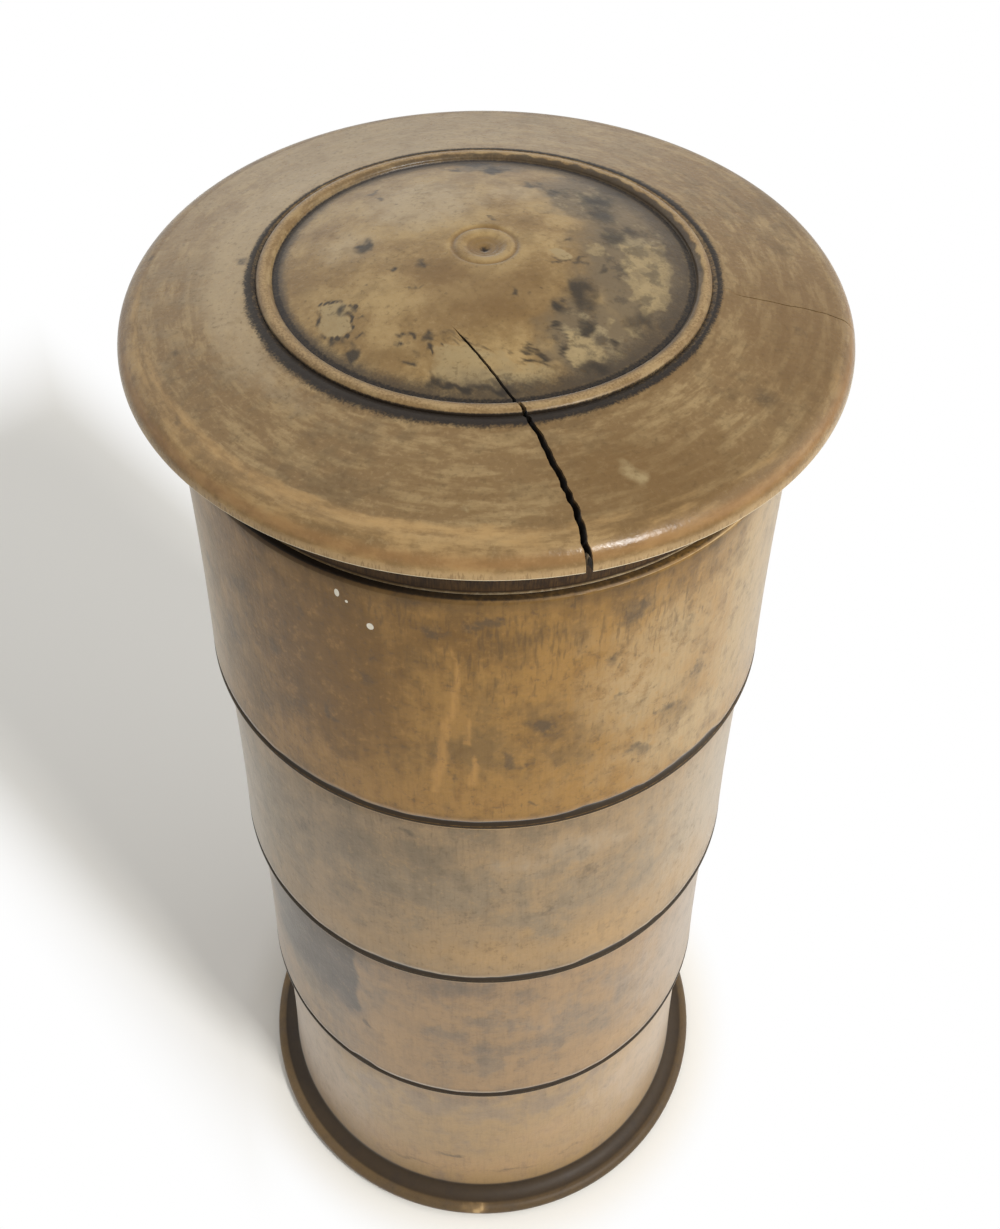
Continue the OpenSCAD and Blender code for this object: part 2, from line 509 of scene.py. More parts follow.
def base_section():
    """The base box: the cup, its wall, a quarter ellipse into the foot, the bead and the hollow under it."""
    bead_at = foot_r - BEAD_R
    reach = bead_at - lip_r
    drop = foot_h - 2 * BEAD_R
    sweep = np.radians(np.linspace(0, 90, COVE_POINTS))
    stand_r = bead_at - STAND_W
    return section(
        **cup(foot_h, BASE_FLOOR_T),
        wall=wall_line(foot_h, foot_h + box_h - EDGE_R, foot_h, STEP["wall"]),
        cove=np.column_stack([lip_r + reach * (1 - np.cos(sweep)), foot_h - drop * np.sin(sweep)]),
        bead=arc((bead_at, BEAD_R), BEAD_R, 90, -90, STEP["bead"]),
        stand=straight((bead_at, 0), (stand_r, 0), STEP["stand"]),
        relief=straight((stand_r, 0), (stand_r - STAND_T, STAND_T), STEP["relief"]),
        ceiling=straight((stand_r - STAND_T, STAND_T), (0, STAND_T), STEP["ceiling"]),
    )


print("the base box has", len(base_section()[0]), "rows")

# %% The scored line's upper edge
LINE_WANDER = 0.16
LINE_SEED = 10
LINE_WAVES = 60
LINE_FALL = 0.3
CHIP_SEED = 40
CHIP_WAVES = 90
CHIP_RAGGED = 0.5
CHIP_FULL = 1.6
CHIP_STEEP = 1.2
# Chips above the scored line: degrees right of the front, half width in degrees and rise
CHIPS = {
    "top_box": [(46, 9, 0.85), (25, 8, 0.5), (35, 5, 0.3), (-33, 9, 0.25), (150, 7, 0.6), (-120, 10, 0.4)],
    "upper_middle_box": [(33, 10, 0.5), (-20, 9, 0.35), (8, 6, 0.25), (-160, 9, 0.6), (110, 6, 0.4)],
    "lower_middle_box": [(-31, 4, 0.5), (14, 8, 0.3), (170, 8, 0.5), (-105, 6, 0.4)],
}


def line_rise(name, angle):
    """Rise of the line's upper edge round a box: a wander, and a ragged soft step where a chip is missing."""
    seed = STACKED.index(name)
    rise = LINE_WANDER * wander(angle, LINE_SEED + seed, LINE_WAVES, LINE_FALL)
    ragged = CHIP_RAGGED * wander(angle, CHIP_SEED + seed, CHIP_WAVES, LINE_FALL)
    for at, half_width, chip_rise in CHIPS[name]:
        away = np.abs(round_from(np.degrees(angle), at)) / half_width
        rise = rise + chip_rise * smooth(CHIP_FULL - CHIP_STEEP * away + ragged)
    return rise


print("chips:", {name: len(chips) for name, chips in CHIPS.items()})

# %% Grids of the boxes
BOX_COLUMNS = 384


def box_grid(name):
    """Radius, height and angle grids of a box, with the zones of its rows.

    The scored line is a half sine wave deep. Its upper edge wanders, rises where chips are missing, and
    pushes the rows of the wall above it upwards, less and less towards the shoulder.
    """
    bottom = seat[name]
    line, zone = base_section() if name == "base_box" else stacked_section(bottom)
    angle = np.linspace(-np.pi, np.pi, BOX_COLUMNS, endpoint=False)[None, :] + np.zeros((len(line), 1))
    radius = line[:, :1] + np.zeros_like(angle)
    height = line[:, 1:] + np.zeros_like(angle)
    if name in STACKED:
        outside = np.isin(zone, ("wall", "line"))[:, None]
        rise = line_rise(name, angle)
        line_low = bottom + LINE_LIP
        up_line = np.clip((height - line_low) / LINE_W, 0, 1)
        wall_h = box_h - EDGE_R - LINE_LIP - LINE_W
        down_wall = np.clip((bottom + box_h - EDGE_R - height) / wall_h, 0, 1)
        moved = np.where(height < line_low + LINE_W, up_line, down_wall) * rise
        height = np.where(outside, height + moved, height)
        groove = LINE_T * np.sin(np.pi * up_line)
        radius = np.where(outside, wall_r(height, bottom) - groove, radius)
        socket = (zone == "socket")[:, None]
        radius += socket * thread(angle, height, bottom, bottom + socket_t)
    neck = (zone == "neck")[:, None]
    radius -= neck * thread(angle, height, bottom + box_h, bottom + box_h + neck_h)
    return radius, height, angle, zone


print("a box has", BOX_COLUMNS, "columns")

# %% [markdown]
# ## Marks on the boxes
# The finish needs to know where dirt gathers, where an edge is worn and where a stain sits, and where
# shade under an overhang and sheen at a turning edge are painted. Those are numbers on the points: some
# follow the section, such as dirt in the scored line, and the rest are soft ovals placed by angle and
# height. The shader breaks their edges up, so they need no fine detail here.
# The side that the photograph doesn't show gets ovals of the same kinds, drawn from a seed.

# %% Ovals placed on a wall
def ovals(across, along, places, from_place=np.subtract):
    """The strongest of several soft ovals, strength exp(-(u / half width)^2 - (v / half height)^2)."""
    total = np.zeros(np.broadcast(across, along).shape)
    for at_across, at_along, half_width, half_height, strength in places:
        u, v = from_place(across, at_across) / half_width, (along - at_along) / half_height
        total = np.maximum(total, strength * np.exp(-(u ** 2) - v ** 2))
    return total


# Each oval: degrees right of the front, height, half width in degrees, half height and strength
SHADE = {
    "top_box": [
        (-28, 158, 18, 17, 1.2), (-6, 168, 18, 5, 0.8), (-45, 168, 14, 8, 0.7), (30, 171, 26, 4, 0.6),
        (12, 151, 9, 5, 0.5),
    ],
    "upper_middle_box": [(-20, 122, 24, 8, 0.8), (5, 128, 40, 3, 0.6), (-25, 108, 14, 8, 0.5)],
    "lower_middle_box": [(-8, 84, 24, 4, 0.6), (8, 66, 20, 8, 0.4)],
    "base_box": [(-10, 43, 40, 3, 0.5), (20, 38, 20, 4, 0.4)],
}
GREY = {
    "top_box": [
        (-52, 152, 13, 20, 1.0), (-1, 147, 10, 7, 0.9), (13, 152, 9, 5, 0.6), (20, 147, 8, 5, 0.5),
        (40, 149, 8, 7, 0.6),
    ],
    "upper_middle_box": [
        (-12, 114, 26, 9, 1.0), (30, 110, 18, 8, 0.9), (-52, 112, 14, 16, 1.0), (12, 105, 12, 5, 0.7),
    ],
    "lower_middle_box": [(-46, 70, 14, 12, 1.3), (24, 66, 22, 9, 0.6), (-2, 60, 12, 8, 0.4)],
    "base_box": [(0, 38, 46, 5, 0.8), (-36, 34, 12, 8, 0.5)],
}
print("shaded and grey places:", sum(len(SHADE[name]) + len(GREY[name]) for name in SHADE))

# %% Warm, pale and flecked places, and smudges
WARMTH = {
    "top_box": [
        (-4, 137, 26, 4, 0.8), (-22, 152, 12, 12, 0.6), (14, 160, 14, 5, 0.4), (26, 157, 12, 7, 0.6),
    ],
    "upper_middle_box": [
        (2, 97, 22, 5, 0.9), (30, 97, 20, 6, 1.1), (-34, 96, 16, 4, 0.7), (52, 98, 22, 8, 0.8),
        (10, 102, 3, 2, 1.0),
    ],
    "lower_middle_box": [(-23, 60, 8, 10, 1.0), (40, 54, 24, 4, 0.9), (4, 51, 16, 3, 0.5)],
    "base_box": [(0, 13, 60, 6, 1.0), (20, 24, 20, 7, 0.8), (-30, 17, 14, 6, 0.7)],
}
# Pale places: paler wood, and painted sheen in the ovals far round on the left and right where the wall turns
# away
PALE_AND_SHEEN = {
    "top_box": [
        (34, 156, 16, 13, 1.0), (66, 156, 24, 26, 1.2), (46, 140, 24, 7, 1.0), (-80, 152, 16, 30, 1.9),
    ],
    "upper_middle_box": [
        (64, 112, 26, 24, 1.0), (-74, 108, 17, 26, 1.5), (8, 120, 8, 3, 0.6), (24, 122, 14, 4, 0.5),
    ],
    "lower_middle_box": [(64, 68, 26, 24, 1.0), (-80, 66, 14, 24, 1.0), (16, 70, 10, 8, 0.4)],
    "base_box": [(54, 30, 30, 18, 0.8), (-56, 26, 18, 18, 1.4)],
}
FLECKS = {
    "top_box": [(6, 167, 18, 6, 1.0), (32, 166, 14, 7, 0.8), (2, 160, 14, 4, 0.6), (-14, 170, 12, 3, 0.8)],
    "upper_middle_box": [(-15, 126, 30, 3, 0.5)],
    "lower_middle_box": [(10, 84, 40, 3, 0.4)],
    "base_box": [(0, 42, 60, 4, 0.3)],
}
SMUDGES = {
    "top_box": [
        (7.2, 144.6, 3.4, 0.9, 1.0), (4.3, 145.8, 1.4, 1.1, 0.9), (10.9, 151.9, 2.2, 1.5, 0.9),
        (8.2, 157.2, 1.8, 1.2, 0.8), (24.8, 153.1, 1.8, 0.8, 0.8), (36.8, 146.8, 2.0, 0.8, 0.9),
        (34, 138.6, 1.3, 0.9, 0.8), (29.7, 141.3, 2.4, 1.2, 0.8), (10.8, 136.5, 1.2, 0.7, 0.9),
        (23.2, 161, 1.6, 2.2, 0.9), (38.1, 161.3, 1.4, 2.6, 0.7), (-20, 158, 1.6, 1.4, 0.7),
        (-17.9, 162.1, 1.4, 0.9, 0.7), (-26.8, 149.5, 1.6, 1.8, 0.8), (27, 168, 3.4, 2.4, 0.9),
        (13, 149, 4.0, 2.0, 0.6), (0, 170, 3.6, 0.9, 1.0), (-8, 169, 3.0, 1.0, 0.8),
        (42, 150, 3.0, 3.2, 0.6), (-4, 141, 1.0, 0.8, 0.7), (-40, 155, 3.0, 2.6, 0.6),
        (-33, 166, 2.0, 2.6, 0.6), (-48, 161, 3.0, 3.6, 0.6), (-36, 146, 2.4, 2.4, 0.6),
        (-55, 150, 2.6, 4.0, 0.6), (-46, 142, 3.0, 2.4, 0.5), (-62, 158, 1.6, 2.4, 0.7),
        (-72, 163, 1.2, 1.4, 0.9), (-15, 154, 1.8, 1.0, 0.7), (-12, 147, 1.4, 1.2, 0.6),
        (18, 139, 2.0, 1.0, 0.6), (-66, 168, 1.0, 1.2, 0.8),
    ],
    "upper_middle_box": [
        (-15, 126.5, 3.2, 0.9, 0.9), (6, 114, 3.0, 0.6, 0.7), (-3, 107, 2.6, 1.6, 0.5),
        (14, 108, 3.4, 1.4, 0.6), (24, 115, 5.0, 2.4, 0.6), (-33, 104, 2.4, 1.2, 0.5),
        (2, 94, 2.0, 1.2, 0.5), (-42, 116, 4.0, 3.4, 0.6), (-52, 106, 3.0, 3.0, 0.5),
        (-28, 111, 3.0, 2.4, 0.5), (-60, 118, 2.4, 3.4, 0.6),
    ],
    "lower_middle_box": [
        (-29, 63, 1.6, 1.8, 0.9), (-19, 51, 1.4, 1.6, 0.6), (20, 52.5, 6.0, 0.8, 0.5),
        (-34, 66, 2.0, 3.0, 0.5),
    ],
    "base_box": [
        (-7, 17.5, 5.0, 0.8, 0.9), (-24, 32, 1.6, 1.8, 0.4), (-20, 11, 8.0, 1.0, 0.7),
        (9, 10.5, 9.0, 0.8, 0.7), (26, 13, 6.0, 1.0, 0.6), (4, 28, 4.0, 2.4, 0.4), (-42, 22, 3.0, 2.4, 0.5),
    ],
}
print("smudges:", sum(len(places) for places in SMUDGES.values()))

# %% Drips, the stain and the unseen side
# Each drip: height, degrees right of the front and half width in degrees, from its end upwards
DRIPS = {
    "top_box": [
        [
            (139, -7.9, 1.2), (144, -7.2, 1.4), (149, -6.3, 1.1), (153, -5.6, 1.1), (157, -4.3, 0.9),
            (166, -4, 0.6),
        ],
        [(149, -1.9, 1.1), (154, -1.6, 0.6)], [(141, -1.4, 1.3), (146, -1.1, 0.7)],
    ],
}
DRIP_ENDS = 1.5
# The one stain with a straight edge: its right edge, how soft that is, and where it fades in from the left
# and from below
STAINED = "lower_middle_box"
STAIN_RIGHT = -30
STAIN_EDGE = 2
STAIN_FADE = (-80, -55)
STAIN_LOW = (58, 72)
# The unseen side in degrees, and the spread of places up the wall, sizes and strengths there
UNSEEN = (85, 275)
UNSEEN_UP = (0.05, 0.95)
UNSEEN_SIZE = (0.5, 1.3)
UNSEEN_STRENGTH = (0.5, 1.0)


def drips(degrees, height, streaks):
    """Streaks down a wall: soft lines through their places, exp(-(u / half width)^2), faded at their ends."""
    total = np.zeros_like(degrees)
    for streak in streaks:
        heights, places, widths = np.array(streak).T
        from_line = round_from(degrees, np.interp(height, heights, places))
        from_line = from_line / np.interp(height, heights, widths)
        beyond = np.maximum(heights[0] - height, height - heights[-1])
        total = np.maximum(total, np.exp(-(from_line ** 2)) * smooth(1 - beyond / DRIP_ENDS))
    return total


def rising(value, low, high):
    """A soft step from 0 at one value to 1 at another, whichever of them is larger."""
    return smooth((value - low) / (high - low))


def aged_at_random(seed, bottom, count, width, height):
    """Ovals of one kind over the unseen side, with seeded places, sizes and strengths."""
    rng = np.random.default_rng(seed)
    degrees = round_from(rng.uniform(*UNSEEN, count), 0)
    at_height = bottom + rng.uniform(*UNSEEN_UP, count) * box_h
    sizes = rng.uniform(*UNSEEN_SIZE, count)
    strength = rng.uniform(*UNSEEN_STRENGTH, count)
    return np.column_stack([degrees, at_height, sizes * width, sizes * height, strength])


# %% Marks placed on a wall
# Each kind of oval: its places, how many more the unseen side has, and their half width and half height
# The pale kind carries painted sheen at the turning edges as well as paler wood
KINDS = {
    "shade": (SHADE, 3, 16, 8), "grey": (GREY, 5, 18, 9), "warmth": (WARMTH, 5, 12, 5),
    "pale": (PALE_AND_SHEEN, 3, 14, 9), "flecks": (FLECKS, 1, 20, 5), "smudge": (SMUDGES, 14, 2, 1.3),
}
BARELY = 0.3


def wall_marks(name, angle, height, zone, degrees, lifted):
    """Marks placed on a wall: ovals of every kind, drips and the stain.

    degrees and lifted are the angle and the height after tearing. Drips and the stain's right edge are
    barely torn, so they stay nearly straight.
    """
    bottom = seat[name]
    marks = {}
    for number, (kind, (placed, count, width, tall)) in enumerate(KINDS.items()):
        unseen = aged_at_random([number, round(bottom)], bottom, count, width, tall)
        marks[kind] = ovals(degrees, lifted, [*placed[name], *unseen], round_from)
    barely_torn = (1 - BARELY) * np.degrees(angle) + BARELY * degrees
    marks["drip"] = drips(barely_torn, height, DRIPS.get(name, []))
    stain = smooth((STAIN_RIGHT - barely_torn) / STAIN_EDGE) * rising(degrees, *STAIN_FADE)
    stain = stain * rising(height, *STAIN_LOW)
    marks["stain"] = stain * (name == STAINED) * (zone == "wall")[:, None]
    return marks


print("kinds of marks on a wall:", list(KINDS))

# %% Film, dirt, wear and painted shade along a box
HIDDEN = ("floor", "corner", "cavity", "mouth", "neck", "socket", "ceiling", "under", "relief")
# A dark film beside an edge: its strength and how far it reaches. Under the shoulder it is partly painted
# shade below the overhang above
FILM_AND_SHADE_UNDER_SHOULDER = (0.5, 3)
FILM_OVER_LINE = (0.4, 1.2)
FILM_OVER_COVE = (0.55, 1.0)
# A dark film all over a stretch, on the shoulder partly painted shade below the overhang above
FILM_AND_SHADE_ON_SHOULDER = 0.75
FILM_ON_STAND = 0.6
# Amounts round a piece: the one all round, then what each side adds, its degrees right of the front and
# how narrow it is
# Painted shade on the left under the overhang: darker film and caked dirt on the edge, and no pale wear there
FILM_AND_SHADE_ON_EDGE = (0.9, (-0.9, 80, 1.5))
FILM_ON_BEAD = (0.5, (0.35, 40, 1))
CAKED_AND_SHADE = (0.95, (-0.4, 70, 1))
EDGE_WORN_OUT_OF_SHADE = (0, (1, 70, 2))
LIP_WORN = (0.5, (0.5, 10, 3))
# Caked dirt, on the shoulder and its edge also painted shade: how far it comes round the edge, where it fills
# the line and where it starts on the lip
CAKED_FULL = 1.4
CAKED_ROUND = 0.25
LINE_FULL = 0.15
LIP_DIRT = (0.12, 0.22)
# Wear: where it lies round the edge, and its strength and reach up the lip
EDGE_WEAR = (0.42, 0.2)
LIP_WEAR = (1, 0.3)
# The one chip in the foot's bead, an oval as above
FOOT_CHIP = [(0, 2.2, 1.7, 1.3, 0.9)]


def band(r, at, half):
    """1 on a line and 0 away from it, exp(-((r - at) / half)^2)."""
    return np.exp(-(((r - at) / half) ** 2))


def beside(distance, strength, reach):
    """A strength at an edge that falls softly to 0 a reach away from it."""
    return strength * smooth(1 - distance / reach)


def by_side(angle, amount, *sides):
    """An amount round a piece: the same all round, and what each side adds where it faces that way."""
    for more, at, narrow in sides:
        amount = amount + more * on_side(angle, at, narrow)
    return amount


def grime(name, radius, height, angle, zone, degrees):
    """Film, dirt and wear along a box's section, partly painted shade, and the raw wood that is never
    handled.
    """
    bottom = seat[name]
    is_in = {key: (zone == key)[:, None] * 1.0 for key in np.unique(zone)}
    up, down = height - bottom, bottom + box_h - height
    round_edge = down / EDGE_R
    # Painted shade: the film under and on the shoulder, and the darker film and caked dirt on the left
    film = is_in["wall"] * beside(down, *FILM_AND_SHADE_UNDER_SHOULDER) + is_in["shoulder"] * FILM_AND_SHADE_ON_SHOULDER
    film = film + is_in["edge"] * by_side(angle, *FILM_AND_SHADE_ON_EDGE)
    dirt = is_in["shoulder"] + is_in["edge"] * smooth(CAKED_FULL - round_edge / CAKED_ROUND)
    dirt = dirt * by_side(angle, *CAKED_AND_SHADE)
    wear = is_in["edge"] * band(round_edge, *EDGE_WEAR) * by_side(angle, *EDGE_WORN_OUT_OF_SHADE)
    if name in STACKED:
        film = film + is_in["wall"] * beside(up - LINE_LIP - LINE_W, *FILM_OVER_LINE)
        dirt = dirt + is_in["line"] * smooth((wall_r(height, bottom) - radius) / LINE_FULL)
        dirt = dirt + is_in["lip"] * rising(up, *LIP_DIRT)
        lip_wear = is_in["lip"] * beside(up, *LIP_WEAR) + is_in["arris"]
        wear = wear + lip_wear * by_side(angle, *LIP_WORN)
    else:
        chip = is_in["bead"] * ovals(degrees, height, FOOT_CHIP)
        # The cove's dark film is partly painted shade in the hollow under the wall
        film = film + is_in["cove"] + is_in["stand"] * FILM_ON_STAND
        film = film + is_in["bead"] * by_side(angle, *FILM_ON_BEAD)
        film = film + is_in["wall"] * beside(up, *FILM_OVER_COVE)
        film = film * (1 - chip)
        wear = wear + chip
    found = {"film": film, "dirt": dirt, "wear": wear, "raw": np.isin(zone, HIDDEN)[:, None] * 1.0}
    return {kind: np.clip(values, 0, 1) for kind, values in found.items()}


print("raw stretches of a box:", len(HIDDEN))

# %% Turn the four boxes
def box_marks(name, radius, height, angle, zone):
    """All marks of a box: those placed on its wall, torn at their edges, and those along its section."""
    across, along = torn(in_space(radius, height, angle), round(seat[name]), long_mm=5.0, short_mm=1.6)
    degrees = np.degrees(angle + across / lip_r)
    placed = wall_marks(name, angle, height, zone, degrees, height + along)
    return placed | grime(name, radius, height, angle, zone, degrees)


pieces = {}
for name in ("base_box", *STACKED):
    radius, height, angle, zone = box_grid(name)
    marks = box_marks(name, radius, height, angle, zone)
    pieces[name] = lathe(name + "_turned", radius, height, angle, marks)

# %% [markdown]
# ## The lid
# The lid is a shallow cap with a wide rim, rounded above and crisp below. A bead stands between two narrow
# grooves, a low dome fills the ring, and a small dished button is left where the lathe's centre stood.

# %% Sizes of the lid
COLLAR_SETBACK = 1
CROWN_T = 3.3
RIM_ROUND = 3
RIM_LAND = 0.2
RING_D = 50
RING_W = 1.7
QUIRK_W = 0.7
QUIRK_T = 0.2
RING_WORN_TO = 0.6
RING_RISE = 2.5
DOME_RISE = 3.6
BUTTON_D = 7.6
BUTTON_T = 0.5
HOLLOW_RISE = 3

collar_r = top_r - COLLAR_SETBACK
rim_top = lid_seat + socket_t + CROWN_T
collar_top = rim_top - RIM_ROUND - RIM_LAND
ring_r = RING_D / 2
ring_z = rim_top + RING_RISE
dome_r = ring_r - RING_W / 2 - QUIRK_W
slope_r = ring_r + RING_W / 2 + QUIRK_W
button_r = BUTTON_D / 2
print("lid radius", round(lid_r, 1), "ring", round(ring_r, 1), "dome", round(dome_r, 1))

# %% Dome and button
BUTTON_EDGE = 4.4
BUTTON_RIDGE = 2.75
RIDGE_HALF = 0.1
DISH_W = 1.3
# A ring turned in the dish, the groove round the button and the pit: radius, half width, then depth
DISH_RING = (1.6, 0.22)
DISH_RING_T = 0.12
BUTTON_GROOVE = 3.6
GROOVE_HALF = 0.3
GROOVE_T = 0.22
PIT = (0, 0.6)
PIT_T = 0.45


def dome_z(r):
    """Height of the dome at a radius, a parabola over the ring's level."""
    return ring_z + DOME_RISE * (1 - (r / dome_r) ** 2)


def button_z(r):
    """Height round the button: a groove outside it, a ridge, a dish and a pit left by the lathe's centre."""
    level = np.minimum(dome_z(r), dome_z(button_r))
    dish = BUTTON_T * smooth((BUTTON_RIDGE - RIDGE_HALF - r) / DISH_W) - DISH_RING_T * band(r, *DISH_RING)
    return level - dish - GROOVE_T * band(r, BUTTON_GROOVE, GROOVE_HALF) - PIT_T * band(r, *PIT)


print("the button's pit is", round(float(dome_z(0) - button_z(0)), 2), "mm below the dome's crown")

# %% Section of the lid
# Distance between neighbouring points on each stretch of the lid's section
LID_STEP = {
    "dome": 0.42, "quirk": 0.2, "ring": 0.17, "slope": 0.45, "rim": 0.24, "land": 0.1, "arris": 0.06,
    "under": 0.7, "collar": 0.6, "seat": 0.8, "socket": 0.28, "ceiling": 1.0,
}
BUTTON_POINTS = 30
HOLLOW_POINTS = 18


def lid_section():
    """The lid from the middle of its top, over the ring and the rim, down the collar, up into its hollow."""
    button = np.linspace(0, BUTTON_EDGE, BUTTON_POINTS)
    dome = straight((BUTTON_EDGE, 0), (dome_r, 0), LID_STEP["dome"])[:, 0]
    rim_at = (lid_r - RIM_ROUND, rim_top - RIM_ROUND)
    slope = math.degrees(math.atan(RING_RISE / (rim_at[0] - slope_r)))
    rim = arc(rim_at, RIM_ROUND, 90 - slope, 0, LID_STEP["rim"])
    quirk_z = ring_z - QUIRK_T
    bead = arc((ring_r, 0), RING_W / 2, 180, 0, LID_STEP["ring"])
    ceiling = lid_seat + socket_t
    hollow_r = socket_r - CORNER_R
    hollow = np.linspace(hollow_r, 0, HOLLOW_POINTS)
    return section(
        button=np.column_stack([button, button_z(button)]),
        dome=np.column_stack([dome, dome_z(dome)]),
        inner_quirk=straight((dome_r, ring_z), (dome_r + QUIRK_W, quirk_z), LID_STEP["quirk"]),
        ring=bead * (1, RING_WORN_TO) + (0, ring_z),
        outer_quirk=straight((slope_r - QUIRK_W, quirk_z), (slope_r, ring_z), LID_STEP["quirk"]),
        slope=straight((slope_r, ring_z), rim[0], LID_STEP["slope"]),
        rim=rim,
        land=straight(rim[-1], (lid_r, collar_top + ARRIS_R), LID_STEP["land"]),
        rim_arris=arc((lid_r - ARRIS_R, collar_top + ARRIS_R), ARRIS_R, 0, -90, LID_STEP["arris"]),
        under=straight((lid_r - ARRIS_R, collar_top), (collar_r, collar_top), LID_STEP["under"]),
        collar=straight((collar_r, collar_top), (collar_r, lid_seat + ARRIS_R), LID_STEP["collar"]),
        collar_arris=arc((collar_r - ARRIS_R, lid_seat + ARRIS_R), ARRIS_R, 0, -90, LID_STEP["arris"]),
        seat=straight((collar_r - ARRIS_R, lid_seat), (socket_r, lid_seat), LID_STEP["seat"]),
        socket=straight((socket_r, lid_seat), (socket_r, ceiling), LID_STEP["socket"]),
        ceiling=straight((socket_r, ceiling), (hollow_r, ceiling), LID_STEP["ceiling"]),
        hollow=np.column_stack([hollow, ceiling + HOLLOW_RISE * (1 - (hollow / hollow_r) ** 2)]),
    )


print("the lid has", len(lid_section()[0]), "rows")

# %% [markdown]
# ## The crack in the lid
# The lid has split from near its middle to its edge as the wood dried, and a hairline crack has started on
# the right. Painting cracks on would show at once in a raking light, so they are cut into the grid. A
# bundle of columns follows each crack's path, its outer two are the lips, and those between sink along the
# inward normal. Columns nearby bend with the path, less and less with distance.

# %% Paths and widths of the cracks
CRACK_START = 13.8
CRACK_SETTLES = 15.0
CRACK_SWING = 30.5
CRACK_EASE = 6.2
CRACK_JAG = 0.55
CRACK_OPENS = (CRACK_START, CRACK_START + 2)
CRACK_W = 0.36
CRACK_WIDENS = (22, 31)
CRACK_WIDER = 0.4
HAIR_START = 27.2
HAIR_ANGLE = 84.5
HAIR_JAG = 0.8
HAIR_OPENS = (HAIR_START, HAIR_START + 3)
HAIR_W = 0.14
JAG_MM = 9


def crack_path(r):
    """Angle of the crack in degrees: askew at first, it settles as exp(-distance / ease), with small jags."""
    along = np.maximum(r, CRACK_START)
    jags = wander(along / JAG_MM, seed=5, waves=60, fall=0.75)
    askew = CRACK_SWING * np.exp(-(along - CRACK_START) / CRACK_EASE)
    return CRACK_SETTLES - askew + CRACK_JAG * jags


def hair_path(r):
    """Angle of the hairline crack in degrees, a radius with small jags."""
    jags = wander(np.maximum(r, HAIR_START) / JAG_MM, seed=8, waves=30, fall=0.9)
    return HAIR_ANGLE + HAIR_JAG * jags


def crack_width(r):
    """Width of the crack: a hairline inside the ring that opens to about 0.75 mm across the rim."""
    return rising(r, *CRACK_OPENS) * (CRACK_W + CRACK_WIDER * rising(r, *CRACK_WIDENS))


def hair_width(r):
    """Width of the hairline crack, closed towards the ring."""
    return HAIR_W * rising(r, *HAIR_OPENS)


print("the crack is", round(float(crack_width(lid_r)), 2), "mm wide at the rim")

# %% [markdown]
# As the lid dried it also went out of true: the dome and its ring sit slightly back and to the left, and
# the ring is a little oval. A slide and a cosine of the angle describe that, and fade out over the slope.

# %% Out of true
PANEL_BACK = 0.7
PANEL_LEFT = 0.4
RING_GROWN = 0.05
RING_WIDER = 0.4
PANEL_REACH = 8


def out_of_true(radius, angle, moves):
    """Radius and angle of points that swell into an oval and slide back and left, as far as moves says."""
    radius = radius + moves * (RING_GROWN - RING_WIDER * np.cos(2 * angle)) * np.minimum(radius / ring_r, 1)
    right = radius * np.sin(angle) - moves * PANEL_LEFT
    forward = radius * np.cos(angle) - moves * PANEL_BACK
    return np.hypot(right, forward), np.arctan2(right, forward)


print("the ring's centre lies", round(math.hypot(PANEL_BACK, PANEL_LEFT), 2), "mm from the axis")

# %% Columns of the lid
LID_COLUMNS = 400
# A crack's bundle of columns: places across it from lip to lip, and how deep each one sinks
ACROSS = np.array([-1, -0.9, -0.5, 0, 0.5, 0.9, 1])
SUNK = np.array([0, 0.3, 0.8, 1, 0.8, 0.3, 0])
MIDDLE = len(ACROSS) // 2
CRACKS = [
    {"at": CRACK_SETTLES, "path": crack_path, "width": crack_width, "depth": 2.0, "start": CRACK_START},
    {"at": HAIR_ANGLE, "path": hair_path, "width": hair_width, "depth": 0.5, "start": HAIR_START},
]


def lid_columns():
    """Even angles with a bundle of columns at each crack, and the crack and the place in it of each one."""
    even = np.linspace(-np.pi, np.pi, LID_COLUMNS, endpoint=False)
    clear = np.ones(len(even), bool)
    for crack in CRACKS:
        clear &= np.abs(even - math.radians(crack["at"])) > np.pi / LID_COLUMNS
    angle = [even[clear]] + [np.full(len(ACROSS), math.radians(crack["at"])) for crack in CRACKS]
    owner = np.repeat(np.arange(-1, len(CRACKS)), [len(part) for part in angle])
    place = np.concatenate([np.full(clear.sum(), MIDDLE)] + [np.arange(len(ACROSS))] * len(CRACKS))
    angle = np.concatenate(angle)
    order = np.lexsort((place, angle))
    return angle[order], owner[order], place[order]


print("the lid has", len(lid_columns()[0]), "columns")

# %% Grid of the lid
TOP = ("button", "dome", "inner_quirk", "ring", "outer_quirk", "slope", "rim", "land", "rim_arris")
# Spread of a crack's bend and of the room made for its lips, in radians
BEND = 0.5
NUDGE = 0.05
# The least width of a bundle, the least radius it is measured at, and the run over which a crack deepens
CLOSED = 0.03
LEAST_R = 4
DEEPENS = 6
OPEN_UNDER = 3


